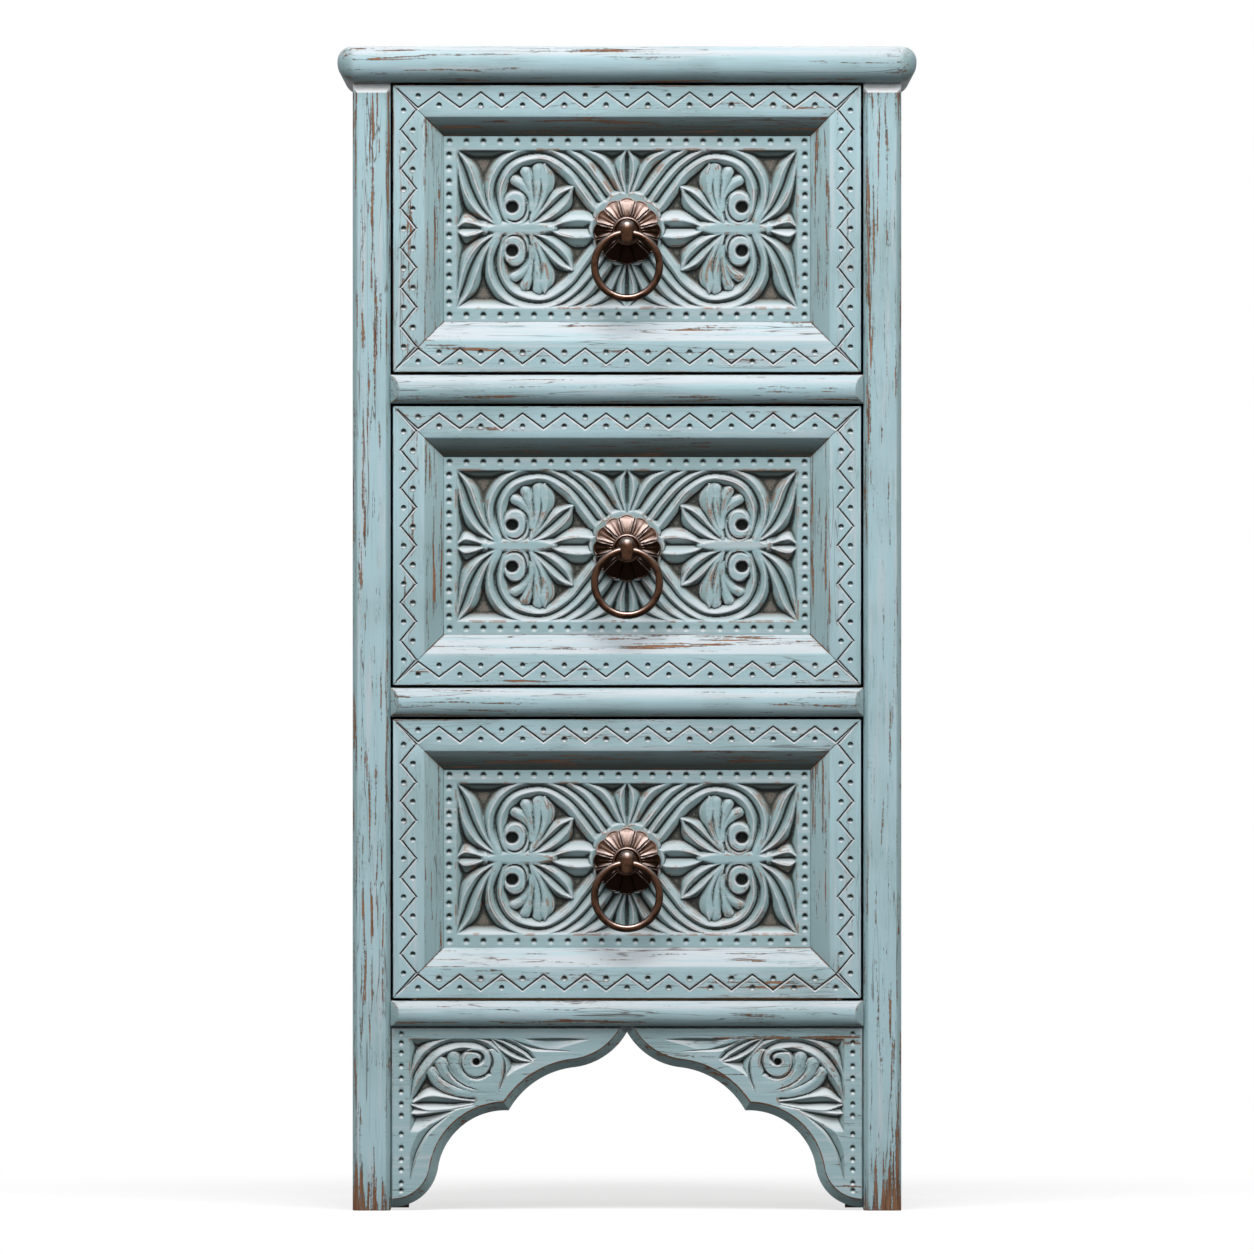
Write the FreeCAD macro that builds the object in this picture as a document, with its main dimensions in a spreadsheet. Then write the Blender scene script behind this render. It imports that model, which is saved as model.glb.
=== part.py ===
import FreeCAD, Part
import math
import os
import re

import Sketcher
from FreeCAD import Placement, Rotation, Vector

# Carved three-drawer chest on bracket legs, in millimetres.
# +Z is up, the drawers face -Y, and the origin is under the middle of the whole object.

# Driving sizes: the alias of the sheet's cell, its value and what it measures.
SIZES = {
    # Carcass
    "leg_height": (126.7, "floor to the underside of the lowest rail"),
    "carcass_width": (377, "across the outer faces of the posts"),
    "carcass_depth": (330, "front posts' faces to rear posts' backs"),
    "top_thickness": (25, "top board"),
    "top_overhang": (10.5, "top board past the posts, in front and at the sides"),
    "top_corner_round": (16, "front corners of the top board seen from above"),
    "top_upper_round": (10, "upper half of the top board's bullnose"),
    "top_edge_flat": (2, "upright strip between the halves of the bullnose"),
    "post_width": (26, "post seen from the front"),
    "post_depth": (34, "post seen from the side"),
    "post_chamfer": (3.2, "long chamfers on the posts' outer face"),
    "post_bevel_height": (7, "bevel at the top of a front post, up and down"),
    "post_bevel_depth": (5, "bevel at the top of a front post, front to back"),
    # Joints in the wood
    "joint_clearance": (0.1, "room left round tenons, tongues, screws and bolts"),
    "tenon_length": (12, "all tenons"),
    "tenon_thickness": (10, "all tenons"),
    "rail_shoulder": (4, "front rail's tenon, above and below"),
    "panel_shoulder": (8, "tenon of a rail that holds a panel, above and below"),
    "panel_groove": (6, "depth of the grooves that hold side and back panels"),
    # Front rails
    "rail_height": (20, "rails under the upper and middle drawers"),
    "bottom_rail_height": (17.5, "rail under the lower drawer"),
    "rail_nose": (7, "rounded nose in front of the posts"),
    "rail_back": (20, "posts' front faces to the back of the rail"),
    "rail_return": (5.5, "bevelled end of the nose"),
    # Sides and back
    "side_rail_height": (40, "top and bottom rails of the sides"),
    "side_rail_thickness": (18, "top and bottom rails of the sides"),
    "side_rail_setback": (2.5, "side rails behind the posts' outer faces"),
    "side_panel_thickness": (8, "side panels"),
    "back_rail_height": (35, "top and bottom rails of the back"),
    "back_rail_thickness": (18, "top and bottom rails of the back"),
    "back_panel_thickness": (5, "back panel"),
    # Arch under the lowest rail
    "spandrel_thickness": (18, "carved brackets"),
    "spandrel_setback": (1.5, "brackets behind the posts' front faces"),
    "apex_drop": (4.1, "point of the arch below the rail"),
    "cusp_reach": (81.3, "middle of the arch to each cusp"),
    "cusp_drop": (58, "cusp below the rail"),
    "foot_lift": (2.4, "toe of a bracket above the floor"),
    "ogee_split": (0.45, "where the upper curve turns over, along its chord"),
    "ogee_angle": (27, "how far the upper curve leaves its chord, in degrees"),
    "skirt_split": (0.6, "where the lower curve turns over, along its chord"),
    "skirt_angle": (42, "how far the lower curve leaves its chord, in degrees"),
    "arch_chamfer": (6, "chamfer along the arch"),
    "block_width": (12.5, "corner block behind a bracket, left to right"),
    "block_depth": (14, "corner block, front to back"),
    "block_lift": (1.6, "corner block above the floor"),
    "block_headroom": (16.6, "corner block to the lowest runner above it"),
    # Drawer fronts
    "upper_front_height": (197, "front of the upper drawer"),
    "middle_front_height": (191.5, "front of the middle drawer"),
    "lower_front_height": (191.5, "front of the lower drawer"),
    "front_gap": (1.8, "gap round each drawer front"),
    "front_proud": (1, "drawer fronts in front of the posts"),
    "frame_flat": (21.5, "flat band of the frame"),
    "frame_bevel": (13.3, "sloping band inside the flat one"),
    "bevel_drop": (9, "frame's face to the panel's face"),
    "frame_thickness": (24, "frame members"),
    "panel_thickness": (14, "carved panel"),
    "panel_border": (7.6, "flat border round the carving"),
    "carving_depth": (6.5, "border down to the ground of the carving"),
    "panel_tongue": (7, "tongue of the panel in the frame"),
    "tongue_thickness": (4, "tongue of the panel in the frame"),
    "tongue_setback": (5, "panel's face to the front of its tongue"),
    "boss_margin": (2.5, "carved boss past the rosette that it carries"),
    # Drawer boxes
    "box_thickness": (12, "drawer sides and backs"),
    "box_headroom": (21, "drawer sides lower than the front is high"),
    "box_tongue": (8, "tongue of a drawer side in the front"),
    "box_tongue_width": (6, "tongue of a drawer side in the front"),
    "bottom_thickness": (5, "drawer bottoms"),
    "bottom_lift": (10, "drawer bottom above the lower edge of the sides"),
    "bottom_groove": (5, "groove round the drawer bottom"),
    "back_inset": (6, "drawer back in front of the ends of the sides"),
    "dado_depth": (4, "drawer back let into the sides"),
    # Runners
    "runner_width": (15, "runners and kickers"),
    "runner_height": (18, "runners and kickers"),
    "slide_clearance": (0.3, "drawer sides above their runners and off their stops"),
    "stop_length": (8, "drawer stops"),
    "stop_height": (12, "drawer stops"),
    # Ring pulls
    "pull_drop": (1.7, "pull below the middle of the drawer front"),
    "rosette_radius": (23.5, "back plate of the pull"),
    "rosette_height": (9, "back plate, middle"),
    "rosette_rim": (3, "back plate, edge"),
    "rosette_lobes": (12, "petals of the back plate"),
    "lobe_notch": (2.6, "notch between two petals"),
    "collar_radius": (9, "collar at the root of the knob"),
    "collar_thickness": (2, "collar at the root of the knob"),
    "neck_radius": (4.6, "neck of the knob"),
    "knob_radius": (6.6, "knob"),
    "knob_tail": (4.4, "how far the knob's tail drops below the eye"),
    "tail_radius": (5.2, "tail of the knob"),
    "eye_drop": (1.5, "eye below the bolt"),
    "eye_clearance": (0.3, "room round the ring in the eye"),
    "eye_throat": (1.5, "half length of the narrow part of the eye"),
    "eye_flare": (1.2, "how much wider the eye's mouths are than its throat"),
    "ring_radius": (22.3, "ring, to the middle of its wire"),
    "wire_radius": (2.6, "wire of the ring"),
    "bolt_radius": (2.5, "bolt behind the knob"),
    "bolt_end": (2, "bolt past its nut"),
    "nut_radius": (4.6, "nut, across its corners, halved"),
    "nut_height": (4, "nut"),
    "washer_radius": (7, "washer under the nut"),
    "washer_thickness": (1.2, "washer under the nut"),
    # Screws
    "screw_radius": (1.8, "screw shanks"),
    "screw_head_radius": (3.2, "countersunk heads"),
    "screw_head_height": (2, "countersunk heads"),
    "post_bite": (9, "runner screws into the posts"),
    "top_bite": (12, "kicker screws into the top board"),
    "top_screw_inset": (60, "front and rear screws of a kicker from its ends"),
}

# Places that follow from the sizes. Heights run up from the floor.
PLACES = {
    "pull_reach": "front_proud - bevel_drop + rosette_height + collar_thickness + 2 * knob_radius",
    "front": "(pull_reach - carcass_depth) / 2",
    "rear": "front + carcass_depth",
    "half_width": "carcass_width / 2",
    "opening": "half_width - post_width",
    "lower_rail_bottom": "leg_height",
    "lower_rail_top": "lower_rail_bottom + bottom_rail_height",
    "lower_front_bottom": "lower_rail_top + front_gap",
    "lower_front_top": "lower_front_bottom + lower_front_height",
    "middle_rail_bottom": "lower_front_top + front_gap",
    "middle_rail_top": "middle_rail_bottom + rail_height",
    "middle_front_bottom": "middle_rail_top + front_gap",
    "middle_front_top": "middle_front_bottom + middle_front_height",
    "upper_rail_bottom": "middle_front_top + front_gap",
    "upper_rail_top": "upper_rail_bottom + rail_height",
    "upper_front_bottom": "upper_rail_top + front_gap",
    "upper_front_top": "upper_front_bottom + upper_front_height",
    "carcass_height": "upper_front_top + front_gap",
    "overall_height": "carcass_height + top_thickness",
    "top_lower_round": "top_thickness - top_upper_round - top_edge_flat",
    "side_rail_outer": "half_width - side_rail_setback",
    "side_rail_inner": "side_rail_outer - side_rail_thickness",
    "side_rail_middle": "(side_rail_outer + side_rail_inner) / 2",
    "side_base": "lower_rail_bottom + side_rail_height",
    "side_head": "carcass_height - side_rail_height",
    "back_rail_front": "rear - back_rail_thickness",
    "back_rail_middle": "rear - back_rail_thickness / 2",
    "back_base": "lower_rail_bottom + back_rail_height",
    "back_head": "carcass_height - back_rail_height",
    "post_back": "front + post_depth",
    "rear_post_front": "rear - post_depth",
    "runner_start": "front + rail_back",
    "runner_inner": "opening - runner_width",
    "runner_screw_length": "runner_width + post_bite",
    "top_screw_length": "runner_height + top_bite",
    "front_half": "opening - front_gap",
    "face": "front - front_proud",
    "frame_back": "face + frame_thickness",
    "kicker_start": "frame_back + front_gap",
    "member_width": "frame_flat + frame_bevel",
    "panel_face": "face + bevel_drop",
    "panel_back": "panel_face + panel_thickness",
    "panel_half": "front_half - member_width - joint_clearance",
    "boss_radius": "rosette_radius + boss_margin",
    "tongue_front": "panel_face + tongue_setback",
    "box_end": "back_rail_front - stop_length - slide_clearance",
    "box_inner": "front_half - box_thickness",
    "bottom_half": "box_inner + bottom_groove - joint_clearance",
    "rosette_top": "panel_face - rosette_height",
    "collar_top": "rosette_top - collar_thickness",
    "eye_depth": "collar_top - knob_radius",
    "bolt_hole": "bolt_radius + joint_clearance",
    "eye_throat_radius": "wire_radius + eye_clearance",
    "nut_face": "panel_back + washer_thickness",
    "apex_z": "lower_rail_bottom - apex_drop",
    "cusp_z": "lower_rail_bottom - cusp_drop",
    "ogee_chord": "sqrt(cusp_reach^2 + (apex_z - cusp_z)^2)",
    "skirt_chord": "sqrt((opening - cusp_reach)^2 + (cusp_z - foot_lift)^2)",
    "ogee_bend": "ogee_chord / (2 * sin(ogee_angle * 1 deg))",
    "skirt_bend": "skirt_chord / (2 * sin(skirt_angle * 1 deg))",
    "spandrel_face": "front + spandrel_setback",
    "spandrel_back": "spandrel_face + spandrel_thickness",
    "blank_margin": "3 * arch_chamfer",
}

TIERS = ("upper", "middle", "lower")
SIDES = {"left": -1, "right": 1}
ALONG = {
    "x": Rotation(Vector(0, 1, 0), 90),
    "y": Rotation(Vector(1, 0, 0), -90),
    "z": Rotation(),
}

doc = FreeCAD.newDocument("carved_chest")
sheet = doc.addObject("Spreadsheet::Sheet", "sizes")
nodes = {}


def fill_sheet():
    """One row for each driving size: its name, its value and what it measures."""
    for row, (alias, (value, meaning)) in enumerate(SIZES.items(), start=1):
        sheet.set(f"A{row}", alias)
        sheet.set(f"B{row}", str(value))
        sheet.setAlias(f"B{row}", alias)
        sheet.set(f"C{row}", meaning)
    doc.recompute()


def formula(text):
    """An expression on the sheet, from names of sizes and places."""
    def cell(match):
        name = match.group()
        if name in PLACES:
            return f"({formula(PLACES[name])})"
        return f"sizes.{name}" if name in SIZES else name
    return re.sub(r"[a-z_]\w*", cell, str(text))


def measure(text):
    """What a formula comes to now."""
    return float(sheet.evalExpression(formula(text)))


def add(kind, label):
    piece = doc.addObject(kind, label)
    piece.Label = label
    return piece


def keep(label, piece):
    """Name a finished sub-part."""
    piece.Label = label
    nodes[label] = piece
    return piece


def mirrored(side, low, high):
    """A left-to-right span given for the right-hand side."""
    return (low, high) if side == "right" else (f"-({high})", f"-({low})")


# Blocks and turned pieces

def box(label, x, y, z):
    """A block between three pairs of faces."""
    block = add("Part::Box", label)
    for size, axis, (low, high) in zip(("Length", "Width", "Height"), "xyz", (x, y, z)):
        block.setExpression(size, formula(f"({high}) - ({low})"))
        block.setExpression(f"Placement.Base.{axis}", formula(low))
    return block


def place(piece, axis, start):
    """Stand a piece that was made along Z on a point, along another axis."""
    piece.Placement = Placement(Vector(), ALONG[axis])
    for name, value in zip("xyz", start):
        piece.setExpression(f"Placement.Base.{name}", formula(value))
    return piece


def rod(label, axis, start, length, radius):
    bar = add("Part::Cylinder", label)
    bar.setExpression("Radius", formula(radius))
    bar.setExpression("Height", formula(length))
    return place(bar, axis, start)


def taper(label, axis, start, length, radius, end_radius):
    bar = add("Part::Cone", label)
    bar.setExpression("Radius1", formula(radius))
    bar.setExpression("Radius2", formula(end_radius))
    bar.setExpression("Height", formula(length))
    return place(bar, axis, start)


def ball(label, centre, radius):
    sphere = add("Part::Sphere", label)
    sphere.setExpression("Radius", formula(radius))
    return place(sphere, "z", centre)


def join(label, pieces):
    whole = add("Part::MultiFuse", label)
    whole.Shapes = pieces
    return whole


def cut(label, base, tools):
    result = add("Part::Cut", label)
    result.Base = base
    result.Tool = tools[0] if len(tools) == 1 else join(f"{label} cuts", tools)
    return result


def group(label, pieces):
    together = add("Part::Compound", label)
    together.Links = pieces
    return together


# Sketched pieces

def bulge(start, end, radius, turn):
    """Arc between two points, with turn 1 where it bends left of the chord and -1 where it bends right."""
    middle = (start + end) / 2
    chord = end - start
    across = Vector(-chord.y, chord.x, 0).normalize()
    depth = math.sqrt(max(radius ** 2 - chord.Length ** 2 / 4, 0))
    centre = middle - across * depth * turn
    first, last = (end, start) if turn > 0 else (start, end)
    circle = Part.Circle(centre, Vector(0, 0, 1), radius)
    return Part.ArcOfCircle(circle, circle.parameter(first), circle.parameter(last))


def outline(body, label, plane, corners, arcs=None):
    """A closed sketch through corners; arcs holds a radius and a turn for corners that start an arc."""
    arcs = arcs or {}
    sketch = body.newObject("Sketcher::SketchObject", label)
    support = next(f for f in body.Origin.OriginFeatures if f.Role == f"{plane}_Plane")
    sketch.AttachmentSupport = [(support, "")]
    sketch.MapMode = "FlatFace"
    points = [Vector(measure(across), measure(up), 0) for across, up in corners]
    ends = []
    for number, start in enumerate(points):
        end = points[(number + 1) % len(points)]
        if number in arcs:
            radius, turn = arcs[number]
            sketch.addGeometry(bulge(start, end, measure(radius), turn), False)
            ends.append((2, 1) if turn > 0 else (1, 2))
        else:
            sketch.addGeometry(Part.LineSegment(start, end), False)
            ends.append((1, 2))
    for number, (first, last) in enumerate(ends):
        following = (number + 1) % len(points)
        sketch.addConstraint(Sketcher.Constraint("Coincident", number, last, following, ends[following][0]))
        for kind, value in zip(("DistanceX", "DistanceY"), corners[number]):
            limit = Sketcher.Constraint(kind, -1, 1, number, first, measure(value))
            name = f"{kind}{number}"
            sketch.renameConstraint(sketch.addConstraint(limit), name)
            sketch.setExpression(f"Constraints.{name}", formula(value))
        if number in arcs:
            limit = Sketcher.Constraint("Radius", number, measure(arcs[number][0]))
            name = f"Radius{number}"
            sketch.renameConstraint(sketch.addConstraint(limit), name)
            sketch.setExpression(f"Constraints.{name}", formula(arcs[number][0]))
    return sketch


def body(label):
    return add("PartDesign::Body", label)


def pad(owner, sketch, length, centred=False, start=None):
    """Thicken a sketch along its plane's normal, from a height above that plane."""
    if start is not None:
        sketch.setExpression("AttachmentOffset.Base.z", formula(start))
    feature = owner.newObject("PartDesign::Pad", f"{sketch.Name}_pad")
    feature.Profile = sketch
    feature.Midplane = centred
    feature.setExpression("Length", formula(length))
    doc.recompute()
    return feature


def pocket_through(owner, sketch):
    """Cut a sketch right through, both ways from its plane."""
    before = owner.Shape.Volume
    feature = owner.newObject("PartDesign::Pocket", f"{sketch.Name}_pocket")
    feature.Profile = sketch
    feature.Type = "ThroughAll"
    feature.Midplane = True
    doc.recompute()
    if not owner.Shape.Volume < before:
        raise ValueError(f"{sketch.Label} cuts nothing")
    return feature


def edges_where(feature, wanted):
    """The numbered edges whose two ends and middle all pass a test."""
    def passes(edge):
        middle = edge.valueAt((edge.FirstParameter + edge.LastParameter) / 2)
        return all(wanted(point) for point in [v.Point for v in edge.Vertexes] + [middle])
    return [f"Edge{number}" for number, edge in enumerate(feature.Shape.Edges, start=1) if passes(edge)]


def dress(owner, kind, base, edges, size, label):
    """Round or chamfer some edges of the last feature."""
    feature = owner.newObject(f"PartDesign::{kind}", label)
    feature.Base = (base, edges)
    feature.setExpression("Radius" if kind == "Fillet" else "Size", formula(size))
    doc.recompute()
    return feature


# Fasteners

def screw(label, axis, head, direction, length, slack="0"):
    """A countersunk screw from the middle of its head; slack widens it into the hole that it fits."""
    spot = "xyz".index(axis)
    toward = "+" if direction > 0 else "-"
    cone_start, shank_start = list(head), list(head)
    if direction > 0:
        shank_start[spot] = f"{head[spot]} + screw_head_height"
        radii = ("screw_head_radius", "screw_radius")
    else:
        cone_start[spot] = f"{head[spot]} - screw_head_height"
        shank_start[spot] = f"{head[spot]} {toward} ({length}) - ({slack})"
        radii = ("screw_radius", "screw_head_radius")
    wide = [f"{radius} + {slack}" for radius in radii]
    cone = taper(f"{label} head", axis, cone_start, "screw_head_height", *wide)
    shank_length = f"({length}) - screw_head_height + ({slack})"
    shank = rod(f"{label} shank", axis, shank_start, shank_length, f"screw_radius + {slack}")
    return join(label, [cone, shank])


# Top board

def top_board(screw_holes):
    board = body("top board blank")
    edge = "half_width + top_overhang"
    corners = [
        (f"-({edge})", "rear"),
        (f"-({edge})", "front - top_overhang"),
        (edge, "front - top_overhang"),
        (edge, "rear"),
    ]
    slab = pad(board, outline(board, "top_outline", "XY", corners), "top_thickness", start="carcass_height")
    nose, back = measure("front - top_overhang"), measure("rear")
    low, high = measure("carcass_height"), measure("overall_height")
    near = 1e-6
    front_corners = edges_where(slab, lambda p: abs(p.y - nose) < near and abs(abs(p.x) - measure(edge)) < near)
    rounded = dress(board, "Fillet", slab, front_corners, "top_corner_round", "top_corners")
    rim = edges_where(rounded, lambda p: abs(p.z - high) < near)
    rim = [name for name in rim if rounded.Shape.getElement(name).CenterOfMass.y < back - near]
    rounded = dress(board, "Fillet", rounded, rim, "top_upper_round", "top_upper_nose")
    rim = edges_where(rounded, lambda p: abs(p.z - low) < near)
    rim = [name for name in rim if rounded.Shape.getElement(name).CenterOfMass.y < back - near]
    dress(board, "Fillet", rounded, rim, "top_lower_round", "top_lower_nose")
    keep("top_board", cut("top board", board, screw_holes))


# Posts

def post_blank(label, side, end):
    """A post with its two outer long edges chamfered; a front post also has its top bevelled."""
    post = body(label)
    sign = SIDES[side]
    outer, inner = f"{sign} * half_width", f"{sign} * opening"
    outer_eased = f"{sign} * (half_width - post_chamfer)"
    inner_eased = f"{sign} * (opening + post_chamfer)"
    show, hidden, toward = ("front", "post_back", "+") if end == "front" else ("rear", "rear_post_front", "-")
    corners = [
        (inner, hidden),
        (outer, hidden),
        (outer, f"{show} {toward} post_chamfer"),
        (outer_eased, show),
        (inner_eased, show),
        (inner, f"{show} {toward} post_chamfer"),
    ]
    pad(post, outline(post, f"{side}_{end}_section", "XY", corners), "carcass_height")
    if end == "front":
        bevel = [
            ("front", "carcass_height - post_bevel_height"),
            ("front", "carcass_height"),
            ("front + post_bevel_depth", "carcass_height"),
        ]
        pocket_through(post, outline(post, f"{side}_post_bevel", "YZ", bevel))
    return post


def mortise(label, x, y, z):
    """The pocket for a tenon or a panel edge, with its clearance all round."""
    roomy = [(f"{low} - joint_clearance", f"{high} + joint_clearance") for low, high in (x, y, z)]
    return box(label, *roomy)


def posts(screw_holes):
    for side in SIDES:
        side_tenon_x = mirrored(
            side,
            "side_rail_middle - tenon_thickness / 2",
            "side_rail_middle + tenon_thickness / 2",
        )
        panel_x = mirrored(
            side,
            "side_rail_middle - side_panel_thickness / 2",
            "side_rail_middle + side_panel_thickness / 2",
        )
        panel_z = ("side_base - panel_groove", "side_head + panel_groove")
        for end in ("front", "rear"):
            if end == "front":
                tenon_y = ("post_back - tenon_length", "post_back")
                panel_y = ("post_back - panel_groove", "post_back")
            else:
                tenon_y = ("rear_post_front", "rear_post_front + tenon_length")
                panel_y = ("rear_post_front", "rear_post_front + panel_groove")
            name = f"{side} {end} post"
            cuts = [mortise(f"{name} panel groove", panel_x, panel_y, panel_z)]
            for level, base in (("top", "side_head"), ("bottom", "lower_rail_bottom")):
                tenon_z = (f"{base} + panel_shoulder", f"{base} + side_rail_height - panel_shoulder")
                cuts.append(mortise(f"{name} {level} mortise", side_tenon_x, tenon_y, tenon_z))
            reach_x = mirrored(side, "opening", "opening + tenon_length")
            if end == "front":
                for tier in TIERS:
                    cuts.append(mortise(f"{name} {tier} mortise", reach_x, *rail_tenon(tier)))
            else:
                back_y = ("back_rail_middle - tenon_thickness / 2", "back_rail_middle + tenon_thickness / 2")
                for level, base in (("top", "back_head"), ("bottom", "lower_rail_bottom")):
                    tenon_z = (f"{base} + panel_shoulder", f"{base} + back_rail_height - panel_shoulder")
                    cuts.append(mortise(f"{name} back {level} mortise", reach_x, back_y, tenon_z))
                groove_x = mirrored(side, "opening", "opening + panel_groove")
                cuts.append(mortise(f"{name} back groove", groove_x, back_panel_y(), back_panel_z()))
            cuts += screw_holes[side, end]
            keep(f"{side}_{end}_post", cut(name, post_blank(f"{name} blank", side, end), cuts))


# Front rails

def rail_size(tier):
    return "bottom_rail_height" if tier == "lower" else "rail_height"


def rail_tenon(tier):
    """Depth and height of a front rail's tenon, in the middle of the rail's section behind its nose."""
    middle = "front + rail_back / 2"
    return (
        (f"{middle} - tenon_thickness / 2", f"{middle} + tenon_thickness / 2"),
        (f"{tier}_rail_bottom + rail_shoulder", f"{tier}_rail_top - rail_shoulder"),
    )


def front_rails():
    for tier in TIERS:
        rail = body(f"{tier} rail blank")
        radius = f"{rail_size(tier)} / 2"
        section = [
            (f"front - rail_nose + {radius}", f"{tier}_rail_top"),
            ("front - rail_nose", f"{tier}_rail_top - {radius}"),
            (f"front - rail_nose + {radius}", f"{tier}_rail_bottom"),
            ("front + rail_back", f"{tier}_rail_bottom"),
            ("front + rail_back", f"{tier}_rail_top"),
        ]
        nose = outline(rail, f"{tier}_rail_section", "YZ", section, {0: (radius, -1), 1: (radius, -1)})
        pad(rail, nose, "2 * opening", centred=True)
        for side, sign in SIDES.items():
            returned = [
                (f"{sign} * opening", f"front - rail_nose + {radius}"),
                (f"{sign} * opening", "front - rail_nose"),
                (f"{sign} * (opening - rail_return)", "front - rail_nose"),
            ]
            pocket_through(rail, outline(rail, f"{tier}_{side}_return", "XY", returned))
        tenons = [
            box(f"{tier} rail {side} tenon", mirrored(side, "opening", "opening + tenon_length"), *rail_tenon(tier))
            for side in SIDES
        ]
        keep(f"{tier}_front_rail", join(f"{tier} rail", [rail] + tenons))


# Arch brackets

def spandrels():
    for side, sign in SIDES.items():
        blank = body(f"{side} spandrel blank")
        ogee_x = f"{sign} * ogee_split * cusp_reach"
        ogee_z = "apex_z - ogee_split * (apex_z - cusp_z)"
        skirt_x = f"{sign} * (cusp_reach + skirt_split * (opening - cusp_reach))"
        skirt_z = "cusp_z - skirt_split * (cusp_z - foot_lift)"
        beyond = f"{sign} * (opening + blank_margin)"
        above = "lower_rail_bottom + blank_margin"
        corners = [
            ("0", "apex_z"),
            (ogee_x, ogee_z),
            (f"{sign} * cusp_reach", "cusp_z"),
            (skirt_x, skirt_z),
            (f"{sign} * opening", "foot_lift"),
            (beyond, "foot_lift"),
            (beyond, above),
            ("0", above),
        ]
        arcs = {
            0: ("ogee_split * ogee_bend", -sign),
            1: ("(1 - ogee_split) * ogee_bend", sign),
            2: ("skirt_split * skirt_bend", sign),
            3: ("(1 - skirt_split) * skirt_bend", -sign),
        }
        sketch = outline(blank, f"{side}_arch", "XZ", corners, arcs)
        board = pad(blank, sketch, "spandrel_thickness", start="-(spandrel_back)")
        face, ceiling = measure("spandrel_face"), measure(above)
        far = measure("opening + blank_margin")
        near = 1e-6
        arch = edges_where(board, lambda p: abs(p.y - face) < near and p.z < ceiling - near)
        wanted = [
            name for name in arch
            if near < abs(board.Shape.getElement(name).CenterOfMass.x) < far - near
        ]
        dress(blank, "Chamfer", board, wanted, "arch_chamfer", f"{side}_arch_chamfer")
        limits = box(
            f"{side} spandrel limits",
            mirrored(side, "joint_clearance", "opening"),
            ("spandrel_face - blank_margin", "spandrel_back + blank_margin"),
            ("0", "lower_rail_bottom"),
        )
        trimmed = add("Part::MultiCommon", f"{side} spandrel")
        trimmed.Shapes = [blank, limits]
        keep(f"{side}_spandrel", trimmed)


def corner_blocks():
    blocks = [
        box(
            f"{side} corner block",
            mirrored(side, "opening - block_width", "opening"),
            ("spandrel_back", "spandrel_back + block_depth"),
            ("block_lift", "lower_rail_top - runner_height - block_headroom"),
        )
        for side in SIDES
    ]
    keep("corner_blocks", group("corner blocks", blocks))


# Sides and back

def side_frames():
    panel_x = ("side_rail_middle - side_panel_thickness / 2", "side_rail_middle + side_panel_thickness / 2")
    tenon_x = ("side_rail_middle - tenon_thickness / 2", "side_rail_middle + tenon_thickness / 2")
    panel_y = ("post_back - panel_groove", "rear_post_front + panel_groove")
    panel_z = ("side_base - panel_groove", "side_head + panel_groove")
    for side in SIDES:
        thin = mirrored(side, *panel_x)
        keep(f"{side}_side_panel", box(f"{side} side panel", thin, panel_y, panel_z))
        for level, base in (("top", "side_head"), ("bottom", "lower_rail_bottom")):
            name = f"{side} side {level} rail"
            span = (base, f"{base} + side_rail_height")
            rail_x = mirrored(side, "side_rail_inner", "side_rail_outer")
            stick = box(f"{name} stick", rail_x, ("post_back", "rear_post_front"), span)
            tenon = box(
                f"{name} tenons",
                mirrored(side, *tenon_x),
                ("post_back - tenon_length", "rear_post_front + tenon_length"),
                (f"{base} + panel_shoulder", f"{base} + side_rail_height - panel_shoulder"),
            )
            groove = mortise(f"{name} groove", thin, panel_y, panel_z)
            keep(f"{side}_side_{level}_rail", cut(name, join(f"{name} whole", [stick, tenon]), [groove]))


def back_panel_y():
    return ("back_rail_middle - back_panel_thickness / 2", "back_rail_middle + back_panel_thickness / 2")


def back_panel_z():
    return ("back_base - panel_groove", "back_head + panel_groove")


def back_frame():
    panel_x = ("-(opening + panel_groove)", "opening + panel_groove")
    keep("back_panel", box("back panel", panel_x, back_panel_y(), back_panel_z()))
    tenon_y = ("back_rail_middle - tenon_thickness / 2", "back_rail_middle + tenon_thickness / 2")
    for level, base in (("top", "back_head"), ("bottom", "lower_rail_bottom")):
        name = f"back {level} rail"
        span = (base, f"{base} + back_rail_height")
        stick = box(f"{name} stick", ("-opening", "opening"), ("back_rail_front", "rear"), span)
        tenon = box(
            f"{name} tenons",
            ("-(opening + tenon_length)", "opening + tenon_length"),
            tenon_y,
            (f"{base} + panel_shoulder", f"{base} + back_rail_height - panel_shoulder"),
        )
        groove = mortise(f"{name} groove", panel_x, back_panel_y(), back_panel_z())
        keep(f"back_{level}_rail", cut(name, join(f"{name} whole", [stick, tenon]), [groove]))


# Runners, kickers and stops

def runner_screw_places():
    """A screw in each post that a runner crosses: its depth from front to back."""
    return {
        "front": "(runner_start + post_back - panel_groove) / 2",
        "rear": "(rear_post_front + panel_groove + back_rail_front) / 2",
    }


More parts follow.
